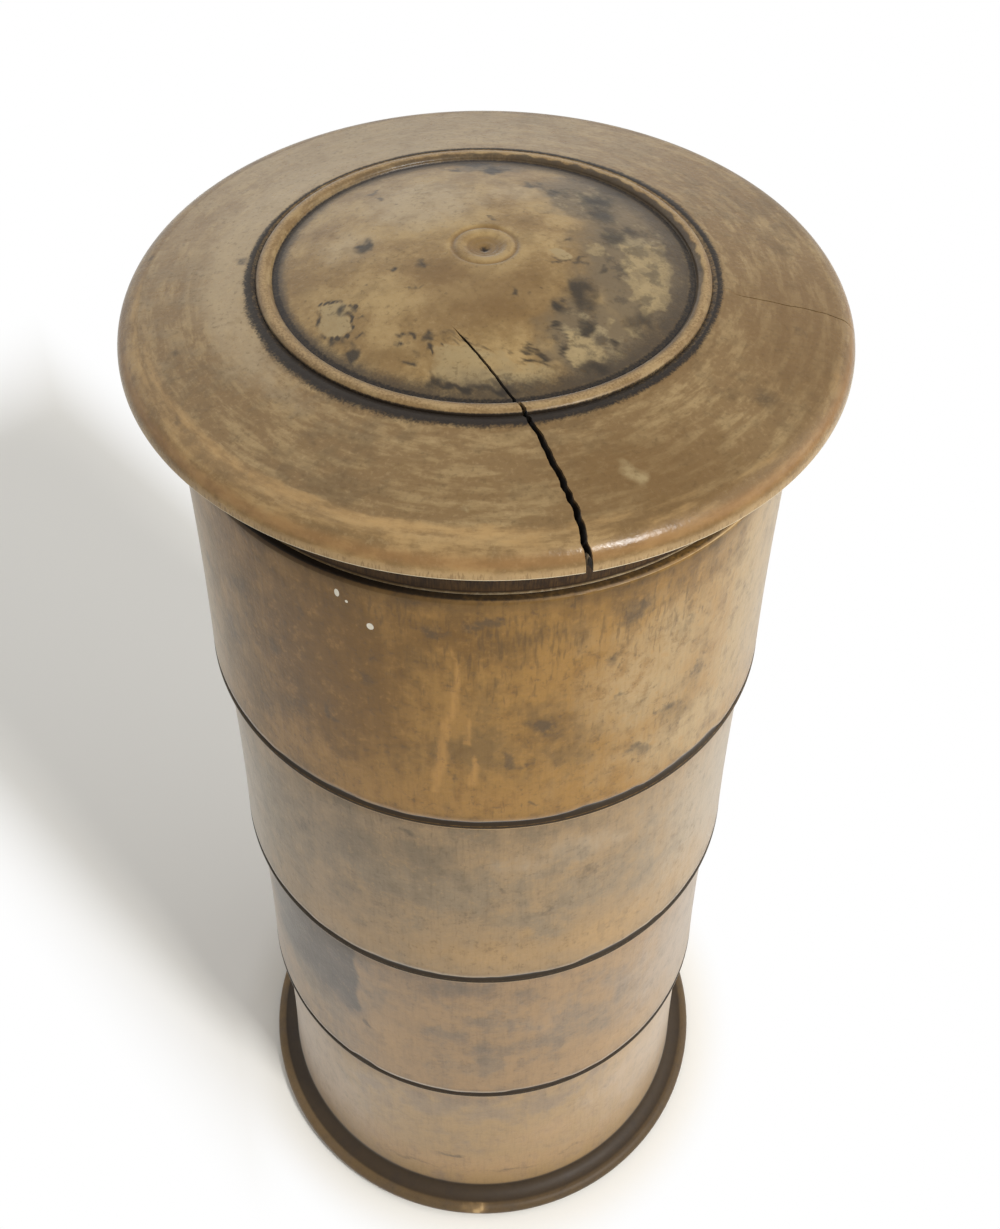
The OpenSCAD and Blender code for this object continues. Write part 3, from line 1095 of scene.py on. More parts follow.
def lid_grid():
    """Radius, height, angle and crack depth grids of the lid, with the radii and zones of its rows."""
    line, zone = lid_section()
    flow = np.gradient(line, axis=0)
    normal = np.column_stack([-flow[:, 1], flow[:, 0]]) / np.linalg.norm(flow, axis=1, keepdims=True)
    even, owner, place = lid_columns()
    top, under = np.isin(zone, TOP), zone == "under"
    r = line[:, 0]
    open_row = np.where(top, 1.0, np.where(under, smooth((r - lid_r + OPEN_UNDER) / OPEN_UNDER), 0.0))
    angle = even[None, :] + np.zeros((len(line), 1))
    sunk = np.zeros_like(angle)
    bends = smooth(r / CRACK_START) * (top | under)
    for number, crack in enumerate(CRACKS):
        away = even - math.radians(crack["at"])
        shift = np.radians(crack["path"](r) - crack["at"]) * bends
        half = np.maximum(open_row * crack["width"](r), CLOSED) / 2 / np.maximum(r, LEAST_R)
        mine = owner == number
        across = np.where(mine, ACROSS[place], np.sign(away) * band(away, 0, NUDGE))
        angle += shift[:, None] * band(away, 0, BEND) + half[:, None] * across
        depth = crack["depth"] * open_row * smooth((r - crack["start"]) / DEEPENS)
        sunk += depth[:, None] * np.where(mine, SUNK[place], 0)
    height = line[:, 1:] - normal[:, 1:] * sunk
    moves = top * np.exp(-((np.maximum(r - ring_r, 0) / PANEL_REACH) ** 2))
    radius, angle = out_of_true(line[:, :1] - normal[:, :1] * sunk, angle, moves[:, None])
    socket = (zone == "socket")[:, None]
    radius = radius + socket * thread(angle, height, lid_seat, lid_seat + socket_t)
    return radius, height, angle, sunk, line[:, :1], zone


# %% [markdown]
# ## Marks on the lid
# Black dirt lies in the grooves on both sides of the bead and creeps out over the slope, widest at the
# front and left. Handling has worn the bead and the button pale, and a pale line is painted along the rim's
# crisp edge as its highlight. On the right of the dome the old polish has flaked into pale islands and dark
# patches, and dark spots are scattered over the rest. Each of those is an oval or an outline with corners,
# placed from the photograph and then torn at its edge.

# %% Spots and patches on the lid
# Each oval: millimetres right of the axis and behind it, half width, half depth and strength
SPOTS = [
    (-14, 1.5, 0.8, 1.6, 0.9), (-10.5, -3, 0.6, 0.7, 1.0), (-7.5, -2.5, 0.6, 0.8, 0.7),
    (-14, -5.5, 0.4, 0.3, 0.7), (-8, -7, 0.7, 0.4, 0.7), (-13.5, -10.5, 0.4, 0.7, 0.9),
    (-13.5, -13.5, 0.5, 0.6, 1.0), (-8.5, -14, 0.7, 0.5, 0.9), (-9.5, -15, 0.7, 0.4, 1.0),
    (-8, -17.5, 0.6, 0.4, 0.9), (-14.5, -15.5, 1.1, 1.3, 1.1), (-16.5, -14, 1.0, 0.7, 0.8),
    (-16, -9, 0.8, 0.8, 0.8), (-17.5, -7.5, 0.6, 0.5, 0.8), (-6, -14, 0.7, 0.8, 0.8),
    (-4, -14, 0.7, 1.0, 0.6), (-5, -20, 0.9, 1.0, 1.1), (-2.6, -20.9, 2.6, 0.8, 1.1),
    (2, -21.4, 2.6, 0.6, 0.9), (-13, 12.5, 0.5, 0.6, 0.7), (-14, 14.5, 0.5, 0.7, 0.7),
    (-11, 10.5, 0.4, 0.5, 0.7), (10.5, -7, 1.7, 3.0, 1.0), (8, -9.5, 0.9, 1.3, 1.0),
    (7.5, -12, 0.7, 0.6, 1.0), (11, -12, 0.9, 1.5, 1.0), (17.5, -9.5, 2.4, 2.7, 0.75),
    (14, -14, 1.1, 0.8, 0.9), (12, -17.5, 2.4, 1.4, 0.8), (8.5, -15.5, 0.6, 1.2, 0.9),
    (5, -15.5, 0.6, 0.7, 0.8), (3.5, -8, 0.5, 0.7, 0.9), (6, -6.5, 0.4, 0.4, 0.7),
    (9.5, 2.5, 0.5, 0.9, 0.8), (7.5, -2, 0.8, 0.4, 0.8), (10.5, -1, 0.4, 1.3, 0.8),
    (13.5, -2, 0.6, 1.3, 0.8), (14.5, 4, 1.9, 2.2, 0.75), (13, 13, 2.8, 2.6, 0.85), (16, 17, 2.6, 1.8, 0.8),
    (5, 15.2, 1.5, 0.9, 0.8), (7.6, 13.8, 1.7, 0.8, 0.75), (-1.7, 22.5, 3.0, 1.3, 1.0),
    (0.5, 20.3, 1.6, 1.9, 1.0), (-4.4, 20.2, 1.4, 0.8, 0.9), (16.7, 6.3, 1.6, 1.8, 0.7),
    (13.5, 9.5, 2.2, 2.6, 0.8), (0, 6.5, 0.8, 0.4, 0.7), (3.5, 8.5, 0.4, 0.5, 0.7),
    (-28.5, 2, 0.9, 0.9, 0.7), (-40.5, 5.5, 0.8, 0.8, 0.7), (30, -19, 2.2, 2.2, 0.5),
    (-34, -13.5, 0.9, 0.7, 0.6), (-32.5, -24, 0.6, 1.5, 0.6), (35.5, -7.5, 0.9, 0.9, 0.45),
    (14.5, -25, 0.7, 0.6, 0.5), (-40, -15.5, 0.4, 0.6, 0.8), (4.6, -16.1, 0.7, 0.25, 0.9),
    (5.6, -16.2, 0.6, 0.25, 1.0), (6.5, -16.5, 0.6, 0.25, 1.0), (7.3, -16.9, 0.5, 0.25, 1.0),
    (8, -17.3, 0.4, 0.3, 0.9),
]
ISLANDS = [
    (14.5, -15, 1.1, 1.1, 0.9), (13.5, -11, 1.2, 1.6, 0.8), (16.5, -11.4, 1.0, 1.0, 0.8),
    (15.5, -31.5, 2.2, 1.8, 1.0), (5, -18.8, 2.6, 1.1, 1.0), (14, -34, 1.2, 0.8, 0.7),
    (-2, -36.5, 0.8, 0.6, 0.7),
]
# Each flaked patch: the corners of its outline in millimetres, its paleness and how dark its edge is
FLAKED = [
    ([(-6, -15.5), (-4, -15.6), (-2.5, -14.6), (0, -16.4), (2, -16), (4, -17.6), (6, -17.2), (8, -18.5),
      (7, -20.4), (4, -20.2), (1.5, -21), (-1, -20.4), (-3, -20.8), (-5.5, -20), (-5.2, -18)], 0.78, 0.8),
    ([(15, 3), (21, 5.5), (21.5, -1), (20.5, -6.5), (17.5, -10), (15.5, -6.5), (15, -2)], 0.9, 0.4),
    ([(-18.5, -8.5), (-17, -7.5), (-15, -9), (-14.5, -12), (-15.5, -13.5), (-17.5, -13), (-18.5, -10.5)],
     0.9, 1.0),
    ([(8.5, -12.5), (10.5, -12.5), (13, -14.5), (13, -16.5), (9, -17.5), (8.5, -15)], 1.0, 0.6),
    ([(6.5, -0.5), (8, 1), (9.5, 0), (9.5, -1), (8, -1.5)], 1.2, 0.6),
    ([(11, 2.5), (12.5, 3), (14, 1), (12.5, -0.5), (11, 0)], 0.8, 0.4),
]
# Paler places on the dome, faded polish with painted sheen towards the back left: ovals as above
FADED_AND_SHEEN = [
    (-8, 10, 8, 7, 1.2), (-16, 2, 5, 5, 0.8), (3, 13, 6, 4, 0.8), (9, 9, 4, 3, 0.6), (-12, -2, 3, 3, 0.5),
]
DULL = [
    (17, 0, 8, 15, 1.1), (12, -14, 7, 7, 1.1), (13, 14, 8, 8, 1.1), (0, -20, 8, 2.5, 0.8),
    (0, 20.5, 6, 2.5, 0.8),
]
BROWN = [
    (2, -8, 12, 6.5, 1.0), (-9, -17, 10, 5, 0.6), (-15, -6, 7, 4, 0.4), (-20, 5.5, 2.4, 2.2, 0.9),
    (-4, -5, 7, 4, 0.9), (-0.4, 0.7, 4.4, 4, 0.6), (-11, 5, 3, 2, 0.5), (4, 5, 3, 2, 0.5),
    (18, -32, 16, 10, 1.0), (35, -8, 10, 18, 1.0), (-5, -34, 16, 7, 0.5),
]


def depth_inside(x, y, corners):
    """Distance inside an outline, negative outside: that of its nearest edge, signed by the edges crossed."""
    nearest = np.full(x.shape, np.inf)
    within = np.zeros(x.shape, bool)
    for (x0, y0), (x1, y1) in zip(corners, corners[1:] + corners[:1]):
        run, rise = x1 - x0, y1 - y0
        t = np.clip(((x - x0) * run + (y - y0) * rise) / (run ** 2 + rise ** 2), 0, 1)
        nearest = np.minimum(nearest, np.hypot(x - x0 - t * run, y - y0 - t * rise))
        if rise:
            within ^= ((y0 > y) != (y1 > y)) & (x < x0 + (y - y0) * run / rise)
    return np.where(within, nearest, -nearest)


print("spots:", len(SPOTS), "islands:", len(ISLANDS), "flaked patches:", len(FLAKED))

# %% Dirt and wear round the lid's ring
# Amounts round the lid, as on a box: width of the dirt on the slope, dirt in the outer quirk and width of
# the dull channel inside the ring
HALO_W = (0.6, (1.2, -38, 4), (0.5, 20, 3), (0.7, 130, 12))
OUTER_QUIRK = (0.4, (0.6, -10, 1))
CHANNEL_W = (1.0, (2.2, 110, 1.5), (1.2, 5, 8))
HALO_WANDER = 0.25
HALO_FULL = 1.15
CHANNEL_WANDER = 0.3
INNER_QUIRK = 0.8
DOME_FOOT = (0.4, 0.8)
CRACK_DIRT = 5
# Across the bead in its half widths: dirt at its foot, the reach of the channel's creep over it, and wear
BEAD_FOOT = (0.8, 1.0)
BEAD_FOOT_SIDE = (0, 2)
CREEP = -0.1
CREEP_WANDER = 0.5
CREEP_SIDE = (125, 2)
CREEP_SOFT = 0.4
CAUGHT_SIDE = (140, 1.2)
BEAD_WEAR = (0.1, 0.8)
BEAD_WORN = 0.8
WEAR_HIDDEN = 0.7
RIDGE_WEAR = 0.3
RIDGE_WORN = 0.55


def ring_grime(angle, sunk, out, is_in):
    """Black dirt, the dull channel inside the ring with what it left on the bead, and the bead's wear."""
    halo_w = by_side(angle, *HALO_W) * (1 + HALO_WANDER * wander(angle, seed=21, waves=30))
    across = (out - ring_r) / (RING_W / 2)
    dirt = np.maximum.reduce([
        is_in["outer_quirk"] * by_side(angle, *OUTER_QUIRK),
        is_in["inner_quirk"] * INNER_QUIRK + is_in["dome"] * beside(dome_r - out, *DOME_FOOT),
        is_in["slope"] * smooth(HALO_FULL - np.maximum(out - slope_r, 0) / halo_w),
        is_in["ring"] * rising(across, *BEAD_FOOT) * on_side(angle, *BEAD_FOOT_SIDE),
        is_in["button"] * band(out, *PIT),
        np.clip(sunk * CRACK_DIRT, 0, 1),
    ])
    channel_w = by_side(angle, *CHANNEL_W) + CHANNEL_WANDER * wander(angle, seed=22, waves=24)
    strands = wander(angle, seed=23, waves=90, fall=0.1) * on_side(angle, *CREEP_SIDE)
    creep = CREEP + CREEP_WANDER * strands
    caught = is_in["ring"] * on_side(angle, *CAUGHT_SIDE) * smooth((creep - across) / CREEP_SOFT)
    channel = is_in["dome"] * band(out, dome_r, channel_w) + is_in["inner_quirk"] + caught
    wear = is_in["ring"] * BEAD_WORN * band(across, *BEAD_WEAR) * (1 - WEAR_HIDDEN * caught)
    wear = wear + is_in["button"] * RIDGE_WORN * band(out, BUTTON_RIDGE, RIDGE_WEAR)
    return {"dirt": dirt, "channel": np.clip(channel, 0, 1), "wear": np.clip(wear, 0, 1)}


print("the dirt on the slope is about", HALO_W[0], "mm wide at its narrowest")

# %% Placed marks of the lid
POLISHED = ("button", "dome", "slope", "rim")
FLAKE_EDGE = 0.9
FLAKE_RIM = (-0.1, 0.3)
# A flaked patch's dark edge is broken: its mean strength, its wander and its most
BROKEN = 0.7
BROKEN_WANDER = 0.5
BROKEN_MOST = 1.1
BROKEN_MM = 2.5
# Brown in the button's dish and its groove, and on the slope beside the ring
DISH_BROWN = (BUTTON_RIDGE - 0.2, BUTTON_RIDGE - 1)
GROOVE_BROWN = 0.4
SLOPE_BROWN = (0, (0.75, 40, 1))
SLOPE_BROWN_W = 2.6
# Paler polish: painted sheen round the slope and the dome at the back left, and worn polish along the
# slope's inner part at the left
SLOPE_SHEEN = (0, (0.75, -150, 1.0))
SLOPE_RUBBED = (0, (0.5, -80, 4))
SLOPE_RUBBED_W = 3
DOME_SHEEN = (0, (0.4, -150, 1.5))


def flaked(x, y, points):
    """Pale islands and dark spots, among them each flaked patch's pale middle and its broken dark edge."""
    island, spot = ovals(x, y, ISLANDS), ovals(x, y, SPOTS)
    broken = np.clip(BROKEN + BROKEN_WANDER * ripple(points, seed=6, wavelength=BROKEN_MM), 0, BROKEN_MOST)
    for corners, paleness, darkness in FLAKED:
        depth = depth_inside(x, y, corners)
        island = np.maximum(island, paleness * smooth(0.5 + depth / FLAKE_EDGE))
        spot = np.maximum(spot, darkness * broken * band(depth, *FLAKE_RIM))
    return island, spot


def top_marks(radius, height, angle, out, zone, is_in):
    """Marks placed on the lid's top and torn at their edges: spots, islands, dull, brown and paler places
    with painted sheen.
    """
    points = in_space(radius, height, angle)
    across, along = torn(points, seed=3, long_mm=2.6, short_mm=1.1)
    x, y = radius * np.sin(angle) + across, -radius * np.cos(angle) + along
    island, spot = flaked(x, y, points)
    dish = is_in["button"] * (rising(out, *DISH_BROWN) + band(out, BUTTON_GROOVE, GROOVE_BROWN))
    tail = is_in["slope"] * band(out, slope_r, SLOPE_BROWN_W) * by_side(angle, *SLOPE_BROWN)
    inner_slope = band(out, slope_r + SLOPE_RUBBED_W, SLOPE_RUBBED_W)
    rubbed_and_sheen = by_side(angle, *SLOPE_SHEEN) + inner_slope * by_side(angle, *SLOPE_RUBBED)
    faded = np.maximum(by_side(angle, *DOME_SHEEN), ovals(x, y, FADED_AND_SHEEN))
    top = np.isin(zone, POLISHED)[:, None]
    return {
        "spot": top * spot,
        "island": top * island,
        "dull": is_in["dome"] * ovals(x, y, DULL),
        "brown": top * np.maximum.reduce([ovals(x, y, BROWN), dish, tail]),
        "faded": is_in["slope"] * rubbed_and_sheen + is_in["dome"] * faded,
    }


print("brown places:", len(BROWN), "dull:", len(DULL), "faded:", len(FADED_AND_SHEEN))

# %% Marks of the rim, and the lid
RAW = ("seat", "socket", "ceiling", "hollow")
# A pale strip near the rim: its radius, half width and side, and how pale the rim's side is
STRIP = (39.6, 1.4)
STRIP_SIDE = (-25, 2)
RIM_PALE = (0.35, (0.45, -30, 1))
# Heights over the rim's lower edge: the middle and half width of a brown line, then a pale band's end and
# where it is full
RIM_BROWN = (1.9, 0.8)
RIM_BAND = (2.0, 0.4)
# The collar's lower arris: its share of the collar's painted shade and of the rim arris's painted highlight,
# and the lit side where that highlight is painted
ARRIS_PAINTED_SHADE = 0.3
ARRIS_PAINTED_HIGHLIGHT = 0.42
ARRIS_LIT_SIDE = (40, 1)


def lid_marks(radius, height, angle, sunk, out, zone):
    """All marks of the lid: those of its ring, its top and its rim, painted shade and highlight under the
    rim, and raw wood inside.
    """
    is_in = {key: (zone == key)[:, None] * np.ones_like(angle) for key in np.unique(zone)}
    side = is_in["rim"] + is_in["land"] + is_in["rim_arris"]
    strip = is_in["slope"] * band(out, *STRIP) * on_side(angle, *STRIP_SIDE)
    up = height - collar_top
    return ring_grime(angle, sunk, out, is_in) | top_marks(radius, height, angle, out, zone, is_in) | {
        "dome": is_in["dome"] + is_in["button"] + is_in["inner_quirk"],
        "outer": strip + side * by_side(angle, *RIM_PALE),
        "rim": side * band(up, *RIM_BROWN),
        "band": side * rising(up, *RIM_BAND),
        # The collar and the rim's underside are painted almost black: shade under the rim
        "collar": is_in["collar"] + is_in["under"] + ARRIS_PAINTED_SHADE * is_in["collar_arris"],
        # A pale line painted along the rim's lower arris, and on the lit side the collar's, as a highlight
        "arris": is_in["rim_arris"] + ARRIS_PAINTED_HIGHLIGHT * is_in["collar_arris"] * on_side(angle, *ARRIS_LIT_SIDE),
        "raw": np.isin(zone, RAW)[:, None] * 1.0,
    }


# %% Turn the lid
radius, height, angle, sunk, out, zone = lid_grid()
marks = lid_marks(radius, height, angle, sunk, out, zone)
pieces["lid"] = lathe("lid_turned", radius, height, angle, marks)

# %% [markdown]
# ## Patterns and coats
# Old polished wood is many thin layers: the wood's own tone, fibre, grey stains, dark flecks, dirt and
# bare worn edges. Each layer is a mask, made where a weighted sum of patterns passes a threshold, and a
# colour that is laid over what is below. Pattern sizes are in millimetres and stretch along the grain,
# which runs up the tower's axis.

# %% Helpers that patterns, masks and coats share
def patterns(tree, place, sizes):
    """Noise fields by name: each has a grain of x, y and z millimetres, its octaves and their roughness."""
    made = {}
    for name, (grain, octaves, roughness) in sizes.items():
        scale = tuple(1 / (size * MM) for size in grain)
        scaled = node(tree, "ShaderNodeMapping", {"Vector": place, "Scale": scale}).outputs[0]
        settings = {"Vector": scaled, "Scale": 1.0, "Detail": octaves, "Roughness": roughness}
        made[name] = node(tree, "ShaderNodeTexNoise", settings).outputs["Fac"]
    return made


def weigh(tree, fields, **weights):
    """The sum of each named field times its weight."""
    total = 0.0
    for name, weight in weights.items():
        total = maths(tree, "MULTIPLY_ADD", fields[name], weight, total)
    return total


def mask(tree, fields, low, high, **weights):
    """A soft 0 to 1 where the weighted sum of named fields passes from low to high."""
    span = {"Value": weigh(tree, fields, **weights), "From Min": low, "From Max": high}
    return node(tree, "ShaderNodeMapRange", span, interpolation_type="SMOOTHSTEP").outputs["Result"]


def coats(tree, hex_colour, *layers):
    """Lay layers over a colour in turn: each has a mask, a share of it and the colour that it brings."""
    colour = linear(hex_colour)
    for share_of, share, hex_layer in layers:
        layered = {0: maths(tree, "MULTIPLY", share_of, share), 6: colour, 7: linear(hex_layer)}
        colour = node(tree, "ShaderNodeMix", layered, data_type="RGBA").outputs[2]
    return colour


def read_marks(tree, *names):
    """The marks that a piece carries on its points, as sockets."""
    return {name: node(tree, "ShaderNodeAttribute", attribute_name=name).outputs["Fac"] for name in names}


def new_material(name):
    """A new material, its node tree and the place of each point in the piece's own coordinates."""
    material = bpy.data.materials.new(name)
    material.use_nodes = True
    tree = material.node_tree
    return material, tree, node(tree, "ShaderNodeTexCoord").outputs["Object"]


# %% A finish from colour, roughness and relief
WAX_IOR = 1.44
WAX_LEFT = 0.3
BLOOM_ROUGHNESS = 0.3


def finish(material, colour, gloss, roughness, relief, depth_mm, bloom):
    """Fill a shader: a colour, a roughness between two limits by a mask, and a bump by a relief.

    The wax is worn thin, so it reflects less than the 0.5 of a whole coat. A sheen stands for the bloom of
    dust and dry wax that pales old wood where it turns away.
    """
    tree = material.node_tree
    rough = node(tree, "ShaderNodeMapRange", {"Value": gloss, "To Min": roughness[0], "To Max": roughness[1]})
    bump = node(tree, "ShaderNodeBump", {"Height": relief, "Distance": depth_mm * MM, "Strength": 1.0})
    skin = tree.nodes["Principled BSDF"]
    skin.inputs["IOR"].default_value = WAX_IOR
    skin.inputs["Specular IOR Level"].default_value = WAX_LEFT
    skin.inputs["Sheen Weight"].default_value = bloom
    skin.inputs["Sheen Roughness"].default_value = BLOOM_ROUGHNESS
    tree.links.new(colour, skin.inputs["Base Color"])
    tree.links.new(rough.outputs["Result"], skin.inputs["Roughness"])
    tree.links.new(bump.outputs[0], skin.inputs["Normal"])


print("wax reflects", WAX_LEFT, "with an IOR of", WAX_IOR)

# %% [markdown]
# ## Waxed sycamore walls
# Sycamore is pale and close grained, and two centuries of smoke, hands and wax have turned it brown. Up
# the wall run fine fibres and short dark pores. The wax gives a soft sheen with a roughness near 0.35, and
# the IOR is that of beeswax, 1.44. Real fibres are a few hundredths of a millimetre wide, too fine to show
# from here, so they are drawn about ten times as coarse.

# %% Patterns and specks of the walls
WALL_PATTERNS = {
    "cloud": ((19, 19, 15), 3.0, 0.5),
    "mottle": ((4.6, 4.6, 5.5), 6.0, 0.6),
    "blotch": ((2.2, 2.2, 2.6), 6.0, 0.66),
    "streak": ((1.3, 1.3, 16), 3.0, 0.5),
    "fibre": ((0.4, 0.4, 5.0), 2.0, 0.5),
    "pores": ((0.46, 0.46, 2.6), 2.0, 0.5),
    "fine": ((0.6, 0.6, 0.7), 3.0, 0.6),
}
WALL_MARKS = (
    "shade", "grey", "warmth", "pale", "flecks", "smudge", "drip", "stain", "film", "dirt", "wear", "raw",
)
# White specks of paint on the top box: degrees right of the front, height, half width and half height
SPECKS = [(-24.3, 171.0, 0.3, 0.6), (-22.6, 170.1, 0.18, 0.22), (-18.6, 167.1, 0.42, 0.52)]


def specks(tree, place):
    """1 inside each speck and 0 outside: the distance from its middle, measured in its own half sizes."""
    total = 0.0
    for degrees, height, half_width, half_height in SPECKS:
        a = math.radians(degrees)
        middle = Vector((top_r * math.sin(a), -top_r * math.cos(a), height)) * MM
        half_sizes = Vector((half_width, half_width, half_height)) * MM
        away = vectors(tree, "DIVIDE", vectors(tree, "SUBTRACT", place, middle), half_sizes)
        within = maths(tree, "LESS_THAN", vectors(tree, "LENGTH", away), 1.0)
        total = maths(tree, "MAXIMUM", within, total)
    return total


print("specks of paint:", len(SPECKS), "patterns on the walls:", list(WALL_PATTERNS))

# %% Material of the walls
WALL_ROUGHNESS = (0.24, 0.62)
WALL_RELIEF_MM = 0.1
WALL_BLOOM = 0.5
# Shares of the dark and the warm blotches, the first of which has a part that is on every box
DARK_BLOTCHES = (0.2, 0.36)
WARM_BLOTCHES = 0.8


def waxed_sycamore(name, tan, dark, grey, warm, pale, grimy):
    """Aged waxed sycamore with its grain upright: tan wood, four tones of stain, grime, pores and dirt, with
    painted sheen and shade.
    """
    material, tree, place = new_material(name)
    fields = patterns(tree, place, WALL_PATTERNS) | read_marks(tree, *WALL_MARKS)
    fields["broken"] = weigh(tree, fields, mottle=0.5, cloud=0.25, streak=0.25)
    over = partial(mask, tree, fields)
    colour = coats(
        tree, tan,
        # Stains; the pale coat also paints the sheen where the wall turns away
        (over(0.42, 0.78, broken=0.8, pale=0.36), 0.8, pale),
        (over(0.46, 0.76, mottle=1.0, grey=0.26, warmth=-0.15, pale=-0.12), 0.65, grey),
        (over(0.56, 0.88, blotch=0.7, streak=0.3, warmth=0.32, grey=-0.1), 0.65, warm),
        (over(0.42, 0.80, broken=0.9, shade=0.36, pale=-0.1), 0.7, dark),
        (over(0.20, 0.90, stain=0.7, mottle=0.4), 0.88, "#463f3a"),
        # Blotches and drips
        (over(0.46, 0.64, blotch=0.75, streak=0.25), DARK_BLOTCHES[0] + DARK_BLOTCHES[1] * grimy, dark),
        (over(-0.48, -0.34, blotch=-0.6, fine=-0.4), WARM_BLOTCHES * grimy, warm),
        (over(0.46, 0.86, drip=0.6, blotch=0.5), 0.7, "#b08447"),
        # Raw wood inside
        (fields["raw"], 0.85, "#96744b"),
        (over(1.40, 1.66, raw=1.0, mottle=0.5, streak=0.5), 0.6, "#6c4f2e"),
        # Fibres, pores and fine grime
        (over(0.45, 0.75, fibre=1.0), 0.12, "#4a371c"),
        (over(0.62, 0.86, pores=1.0, flecks=0.2), grimy, "#4f3c22"),
        (over(0.53, 0.68, fine=0.6, blotch=0.4), grimy, "#54432e"),
        (over(0.45, 0.90, smudge=0.7, fine=0.35, blotch=0.25), 0.65, "#463a2b"),
        # Film and dirt, partly painted shade under the overhangs, worn edges and paint
        (fields["film"], 0.92, "#211810"),
        (over(0.55, 0.95, dirt=1.0, fine=0.35), 0.95, "#1d150c"),
        (over(0.80, 1.15, wear=0.9, fine=0.35, mottle=0.35), 0.75, "#bfa173"),
        (specks(tree, place), 0.9, "#e2ddcd"),
    )
    gloss = over(-0.2, 1.2, mottle=0.5, fine=0.2, dirt=0.4, raw=0.4, film=0.4)
    relief = weigh(tree, fields, fibre=0.12, fine=0.25, blotch=0.3, mottle=0.5)
    finish(material, colour, gloss, WALL_ROUGHNESS, relief, WALL_RELIEF_MM, WALL_BLOOM)
    return material


print("roughness of the walls:", WALL_ROUGHNESS)

# %% [markdown]
# ## Waxed end grain on the lid
# The lid's top is end grain, so its pattern is of arcs about the axis instead of upright fibres. The rim
# shows the fibres from the side as short upright strokes. The dome's polish is golden where it is whole,
# and on the right it has flaked into pale islands with dark edges.

# %% Patterns of the lid
LID_PATTERNS = {
    "cloud": ((14, 14, 14), 3.0, 0.5),
    "patch": ((6.5, 6.5, 6.5), 5.0, 0.6),
    "mottle": ((2.6, 2.6, 2.6), 5.0, 0.62),
    "flake": ((3.0, 3.0, 3.0), 6.0, 0.62),
    "fine": ((0.55, 0.55, 0.55), 3.0, 0.6),
    "speckle": ((0.26, 0.26, 0.26), 2.0, 0.5),
    "stroke": ((0.2, 0.2, 1.6), 2.0, 0.5),
}
ROUND_PATTERNS = {"arcs": ((4.5, 4.5, 1.2), 5.0, 0.62)}
LID_MARKS = (
    "dirt", "channel", "spot", "island", "dull", "brown", "faded", "dome", "outer", "rim", "band", "collar",
    "arris", "wear", "raw",
)
ROUND_AT = 30


def round_the_axis(tree, place):
    """Coordinates that bend patterns round the axis: the direction times a radius, and the distance out."""
    flat = vectors(tree, "MULTIPLY", place, (1, 1, 0))
    out = vectors(tree, "LENGTH", flat)
    way = vectors(tree, "MULTIPLY", vectors(tree, "NORMALIZE", flat), [ROUND_AT * MM] * 3)
    return vectors(tree, "ADD", way, node(tree, "ShaderNodeCombineXYZ", {"Z": out}).outputs[0])


print("patterns on the lid:", [*LID_PATTERNS, *ROUND_PATTERNS])

# %% Material of the lid
LID_ROUGHNESS = (0.2, 0.62)
LID_RELIEF_MM = 0.12
LID_BLOOM = 0.3


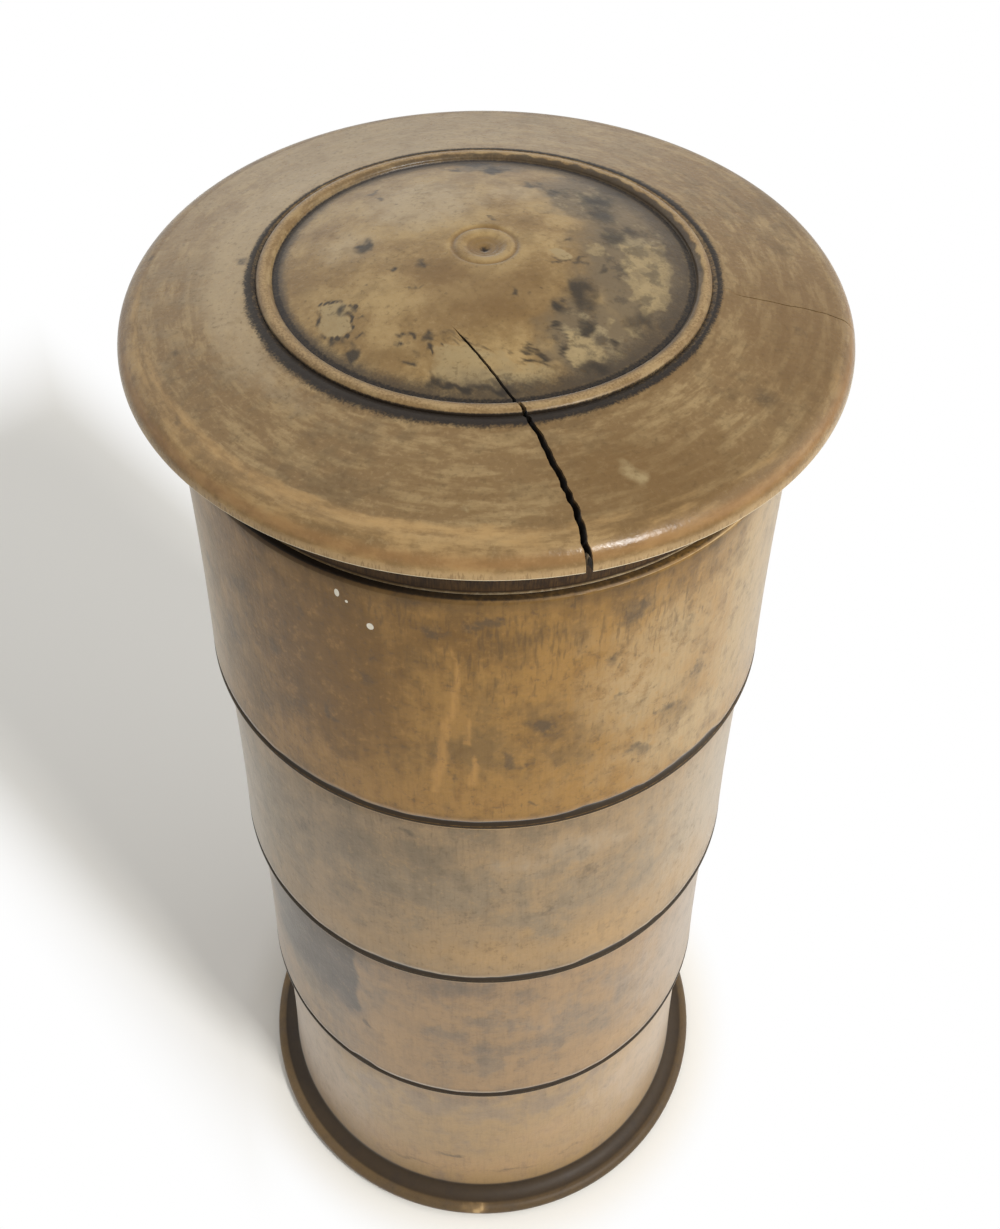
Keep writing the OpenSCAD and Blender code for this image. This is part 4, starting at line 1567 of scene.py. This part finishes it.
def waxed_end_grain(name):
    """Aged waxed end grain: brown wood with arcs, a golden dome that flakes, spots and black dirt."""
    material, tree, place = new_material(name)
    fields = patterns(tree, place, LID_PATTERNS) | read_marks(tree, *LID_MARKS)
    fields |= patterns(tree, round_the_axis(tree, place), ROUND_PATTERNS)
    over = partial(mask, tree, fields)
    fields["golden"] = over(0.4, 0.6, dome=1.0)
    fields["grain"] = over(0.36, 0.64, fine=0.35, speckle=0.65)
    colour = coats(
        tree, "#79603d",
        # Brown wood and the golden dome
        (over(0.45, 0.60, arcs=0.7, mottle=0.3), 0.75, "#9b835b"),
        (over(0.47, 0.64, mottle=0.6, cloud=0.4), 0.65, "#624e32"),
        (fields["golden"], 0.8, "#8b7045"),
        (over(1.42, 1.62, golden=1.0, patch=1.0), 0.65, "#ab9163"),
        (over(0.48, 0.68, golden=1.0, patch=-1.0), 0.4, "#735935"),
        # Paler polish, and painted sheen at the back where the top turns away
        (over(0.55, 0.95, faded=0.6, mottle=0.4, flake=0.3), 0.7, "#ae9a79"),
        (over(-0.47, -0.34, fine=-0.75, mottle=-0.25), 0.2, "#b39a70"),
        (over(0.48, 0.70, flake=0.9, golden=0.06), 0.5, "#6f5731"),
        (over(0.30, 0.95, brown=0.7, mottle=0.3), 0.7, "#684d29"),
        # Flaked and dull polish, the channel and spots
        (over(0.36, 0.68, dull=0.62, flake=0.4), 0.9, "#655742"),
        (over(0.82, 0.94, dull=0.35, flake=1.0), 0.7, "#948362"),
        (over(0.70, 1.02, island=0.5, flake=0.5, mottle=0.5), 0.9, "#99855f"),
        (over(0.80, 0.96, dull=0.35, mottle=1.0), 0.65, "#433a2e"),
        (over(0.36, 0.98, channel=0.7, flake=0.4, grain=0.1), 0.9, "#3b3125"),
        (over(0.38, 0.96, spot=0.8, flake=0.3, fine=0.2), 0.92, "#2a231a"),
        (over(0.53, 0.68, fine=0.75, mottle=0.25), 0.42, "#574326"),
        # Rim, the collar painted almost black as shade under the rim, and raw wood inside
        (over(0.72, 1.02, outer=0.5, arcs=0.45, mottle=0.45), 0.65, "#b18e5c"),
        (over(0.40, 1.10, rim=0.8, mottle=0.4), 0.5, "#90673a"),
        (over(0.55, 1.15, band=0.8, mottle=0.5), 0.6, "#b89b70"),
        (over(0.90, 1.10, band=0.45, stroke=1.0), 0.5, "#6a5130"),
        (over(0.3, 0.8, collar=1.0), 0.97, "#251505"),
        (over(1.36, 1.60, collar=1.0, stroke=0.45, mottle=0.5), 0.6, "#5a4020"),
        (fields["raw"], 0.75, "#8d6c45"),
        # Dirt, worn edges, and a pale line painted along the rim's lower arris as its highlight
        (over(0.36, 0.90, dirt=0.85, grain=0.22), 0.97, "#140d07"),
        (over(0.55, 1.00, wear=0.6, grain=0.3, mottle=0.35), 0.7, "#ab8f66"),
        (over(0.40, 0.90, arris=0.9, fine=0.5), 0.85, "#dccbaa"),
    )
    gloss = over(-0.1, 1.2, mottle=0.45, fine=0.2, dirt=0.4, dull=0.3, rim=-0.25, wear=0.3, collar=0.8)
    relief = weigh(tree, fields, fine=0.25, mottle=0.35, arcs=0.35, flake=0.3)
    finish(material, colour, gloss, LID_ROUGHNESS, relief, LID_RELIEF_MM, LID_BLOOM)
    return material


print("roughness of the lid:", LID_ROUGHNESS)

# %% [markdown]
# ## Putting the finishes on
# Every piece stands for its CAD node and rides on that node's body, so the joints carry it.

# %% Finish, ride and replace
# Bare tan, dark stain, grey stain, warm patch and pale patch of each box, and its share of fine grime; the
# pale patch also paints a sheen at the turning edges
TONES = {
    "base_box": ("#a28459", "#776450", "#8b7965", "#af8b5f", "#b8a28a", 0.2),
    "lower_middle_box": ("#997b56", "#625446", "#80715e", "#ab885a", "#a69583", 0.25),
    "upper_middle_box": ("#987e5b", "#6d5c44", "#82745f", "#b18d5a", "#a89881", 0.35),
    "top_box": ("#946f37", "#5f4113", "#6e5732", "#a37a40", "#aa936d", 0.5),
}
for name, piece in pieces.items():
    if name == "lid":
        wood = waxed_end_grain("sycamore end grain, turned and waxed")
    else:
        wood = waxed_sycamore(f"sycamore, turned and waxed, {name}", *TONES[name])
    piece.data.materials.append(wood)
    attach(piece, name)
    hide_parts(name)
print("finished:", sorted(pieces))
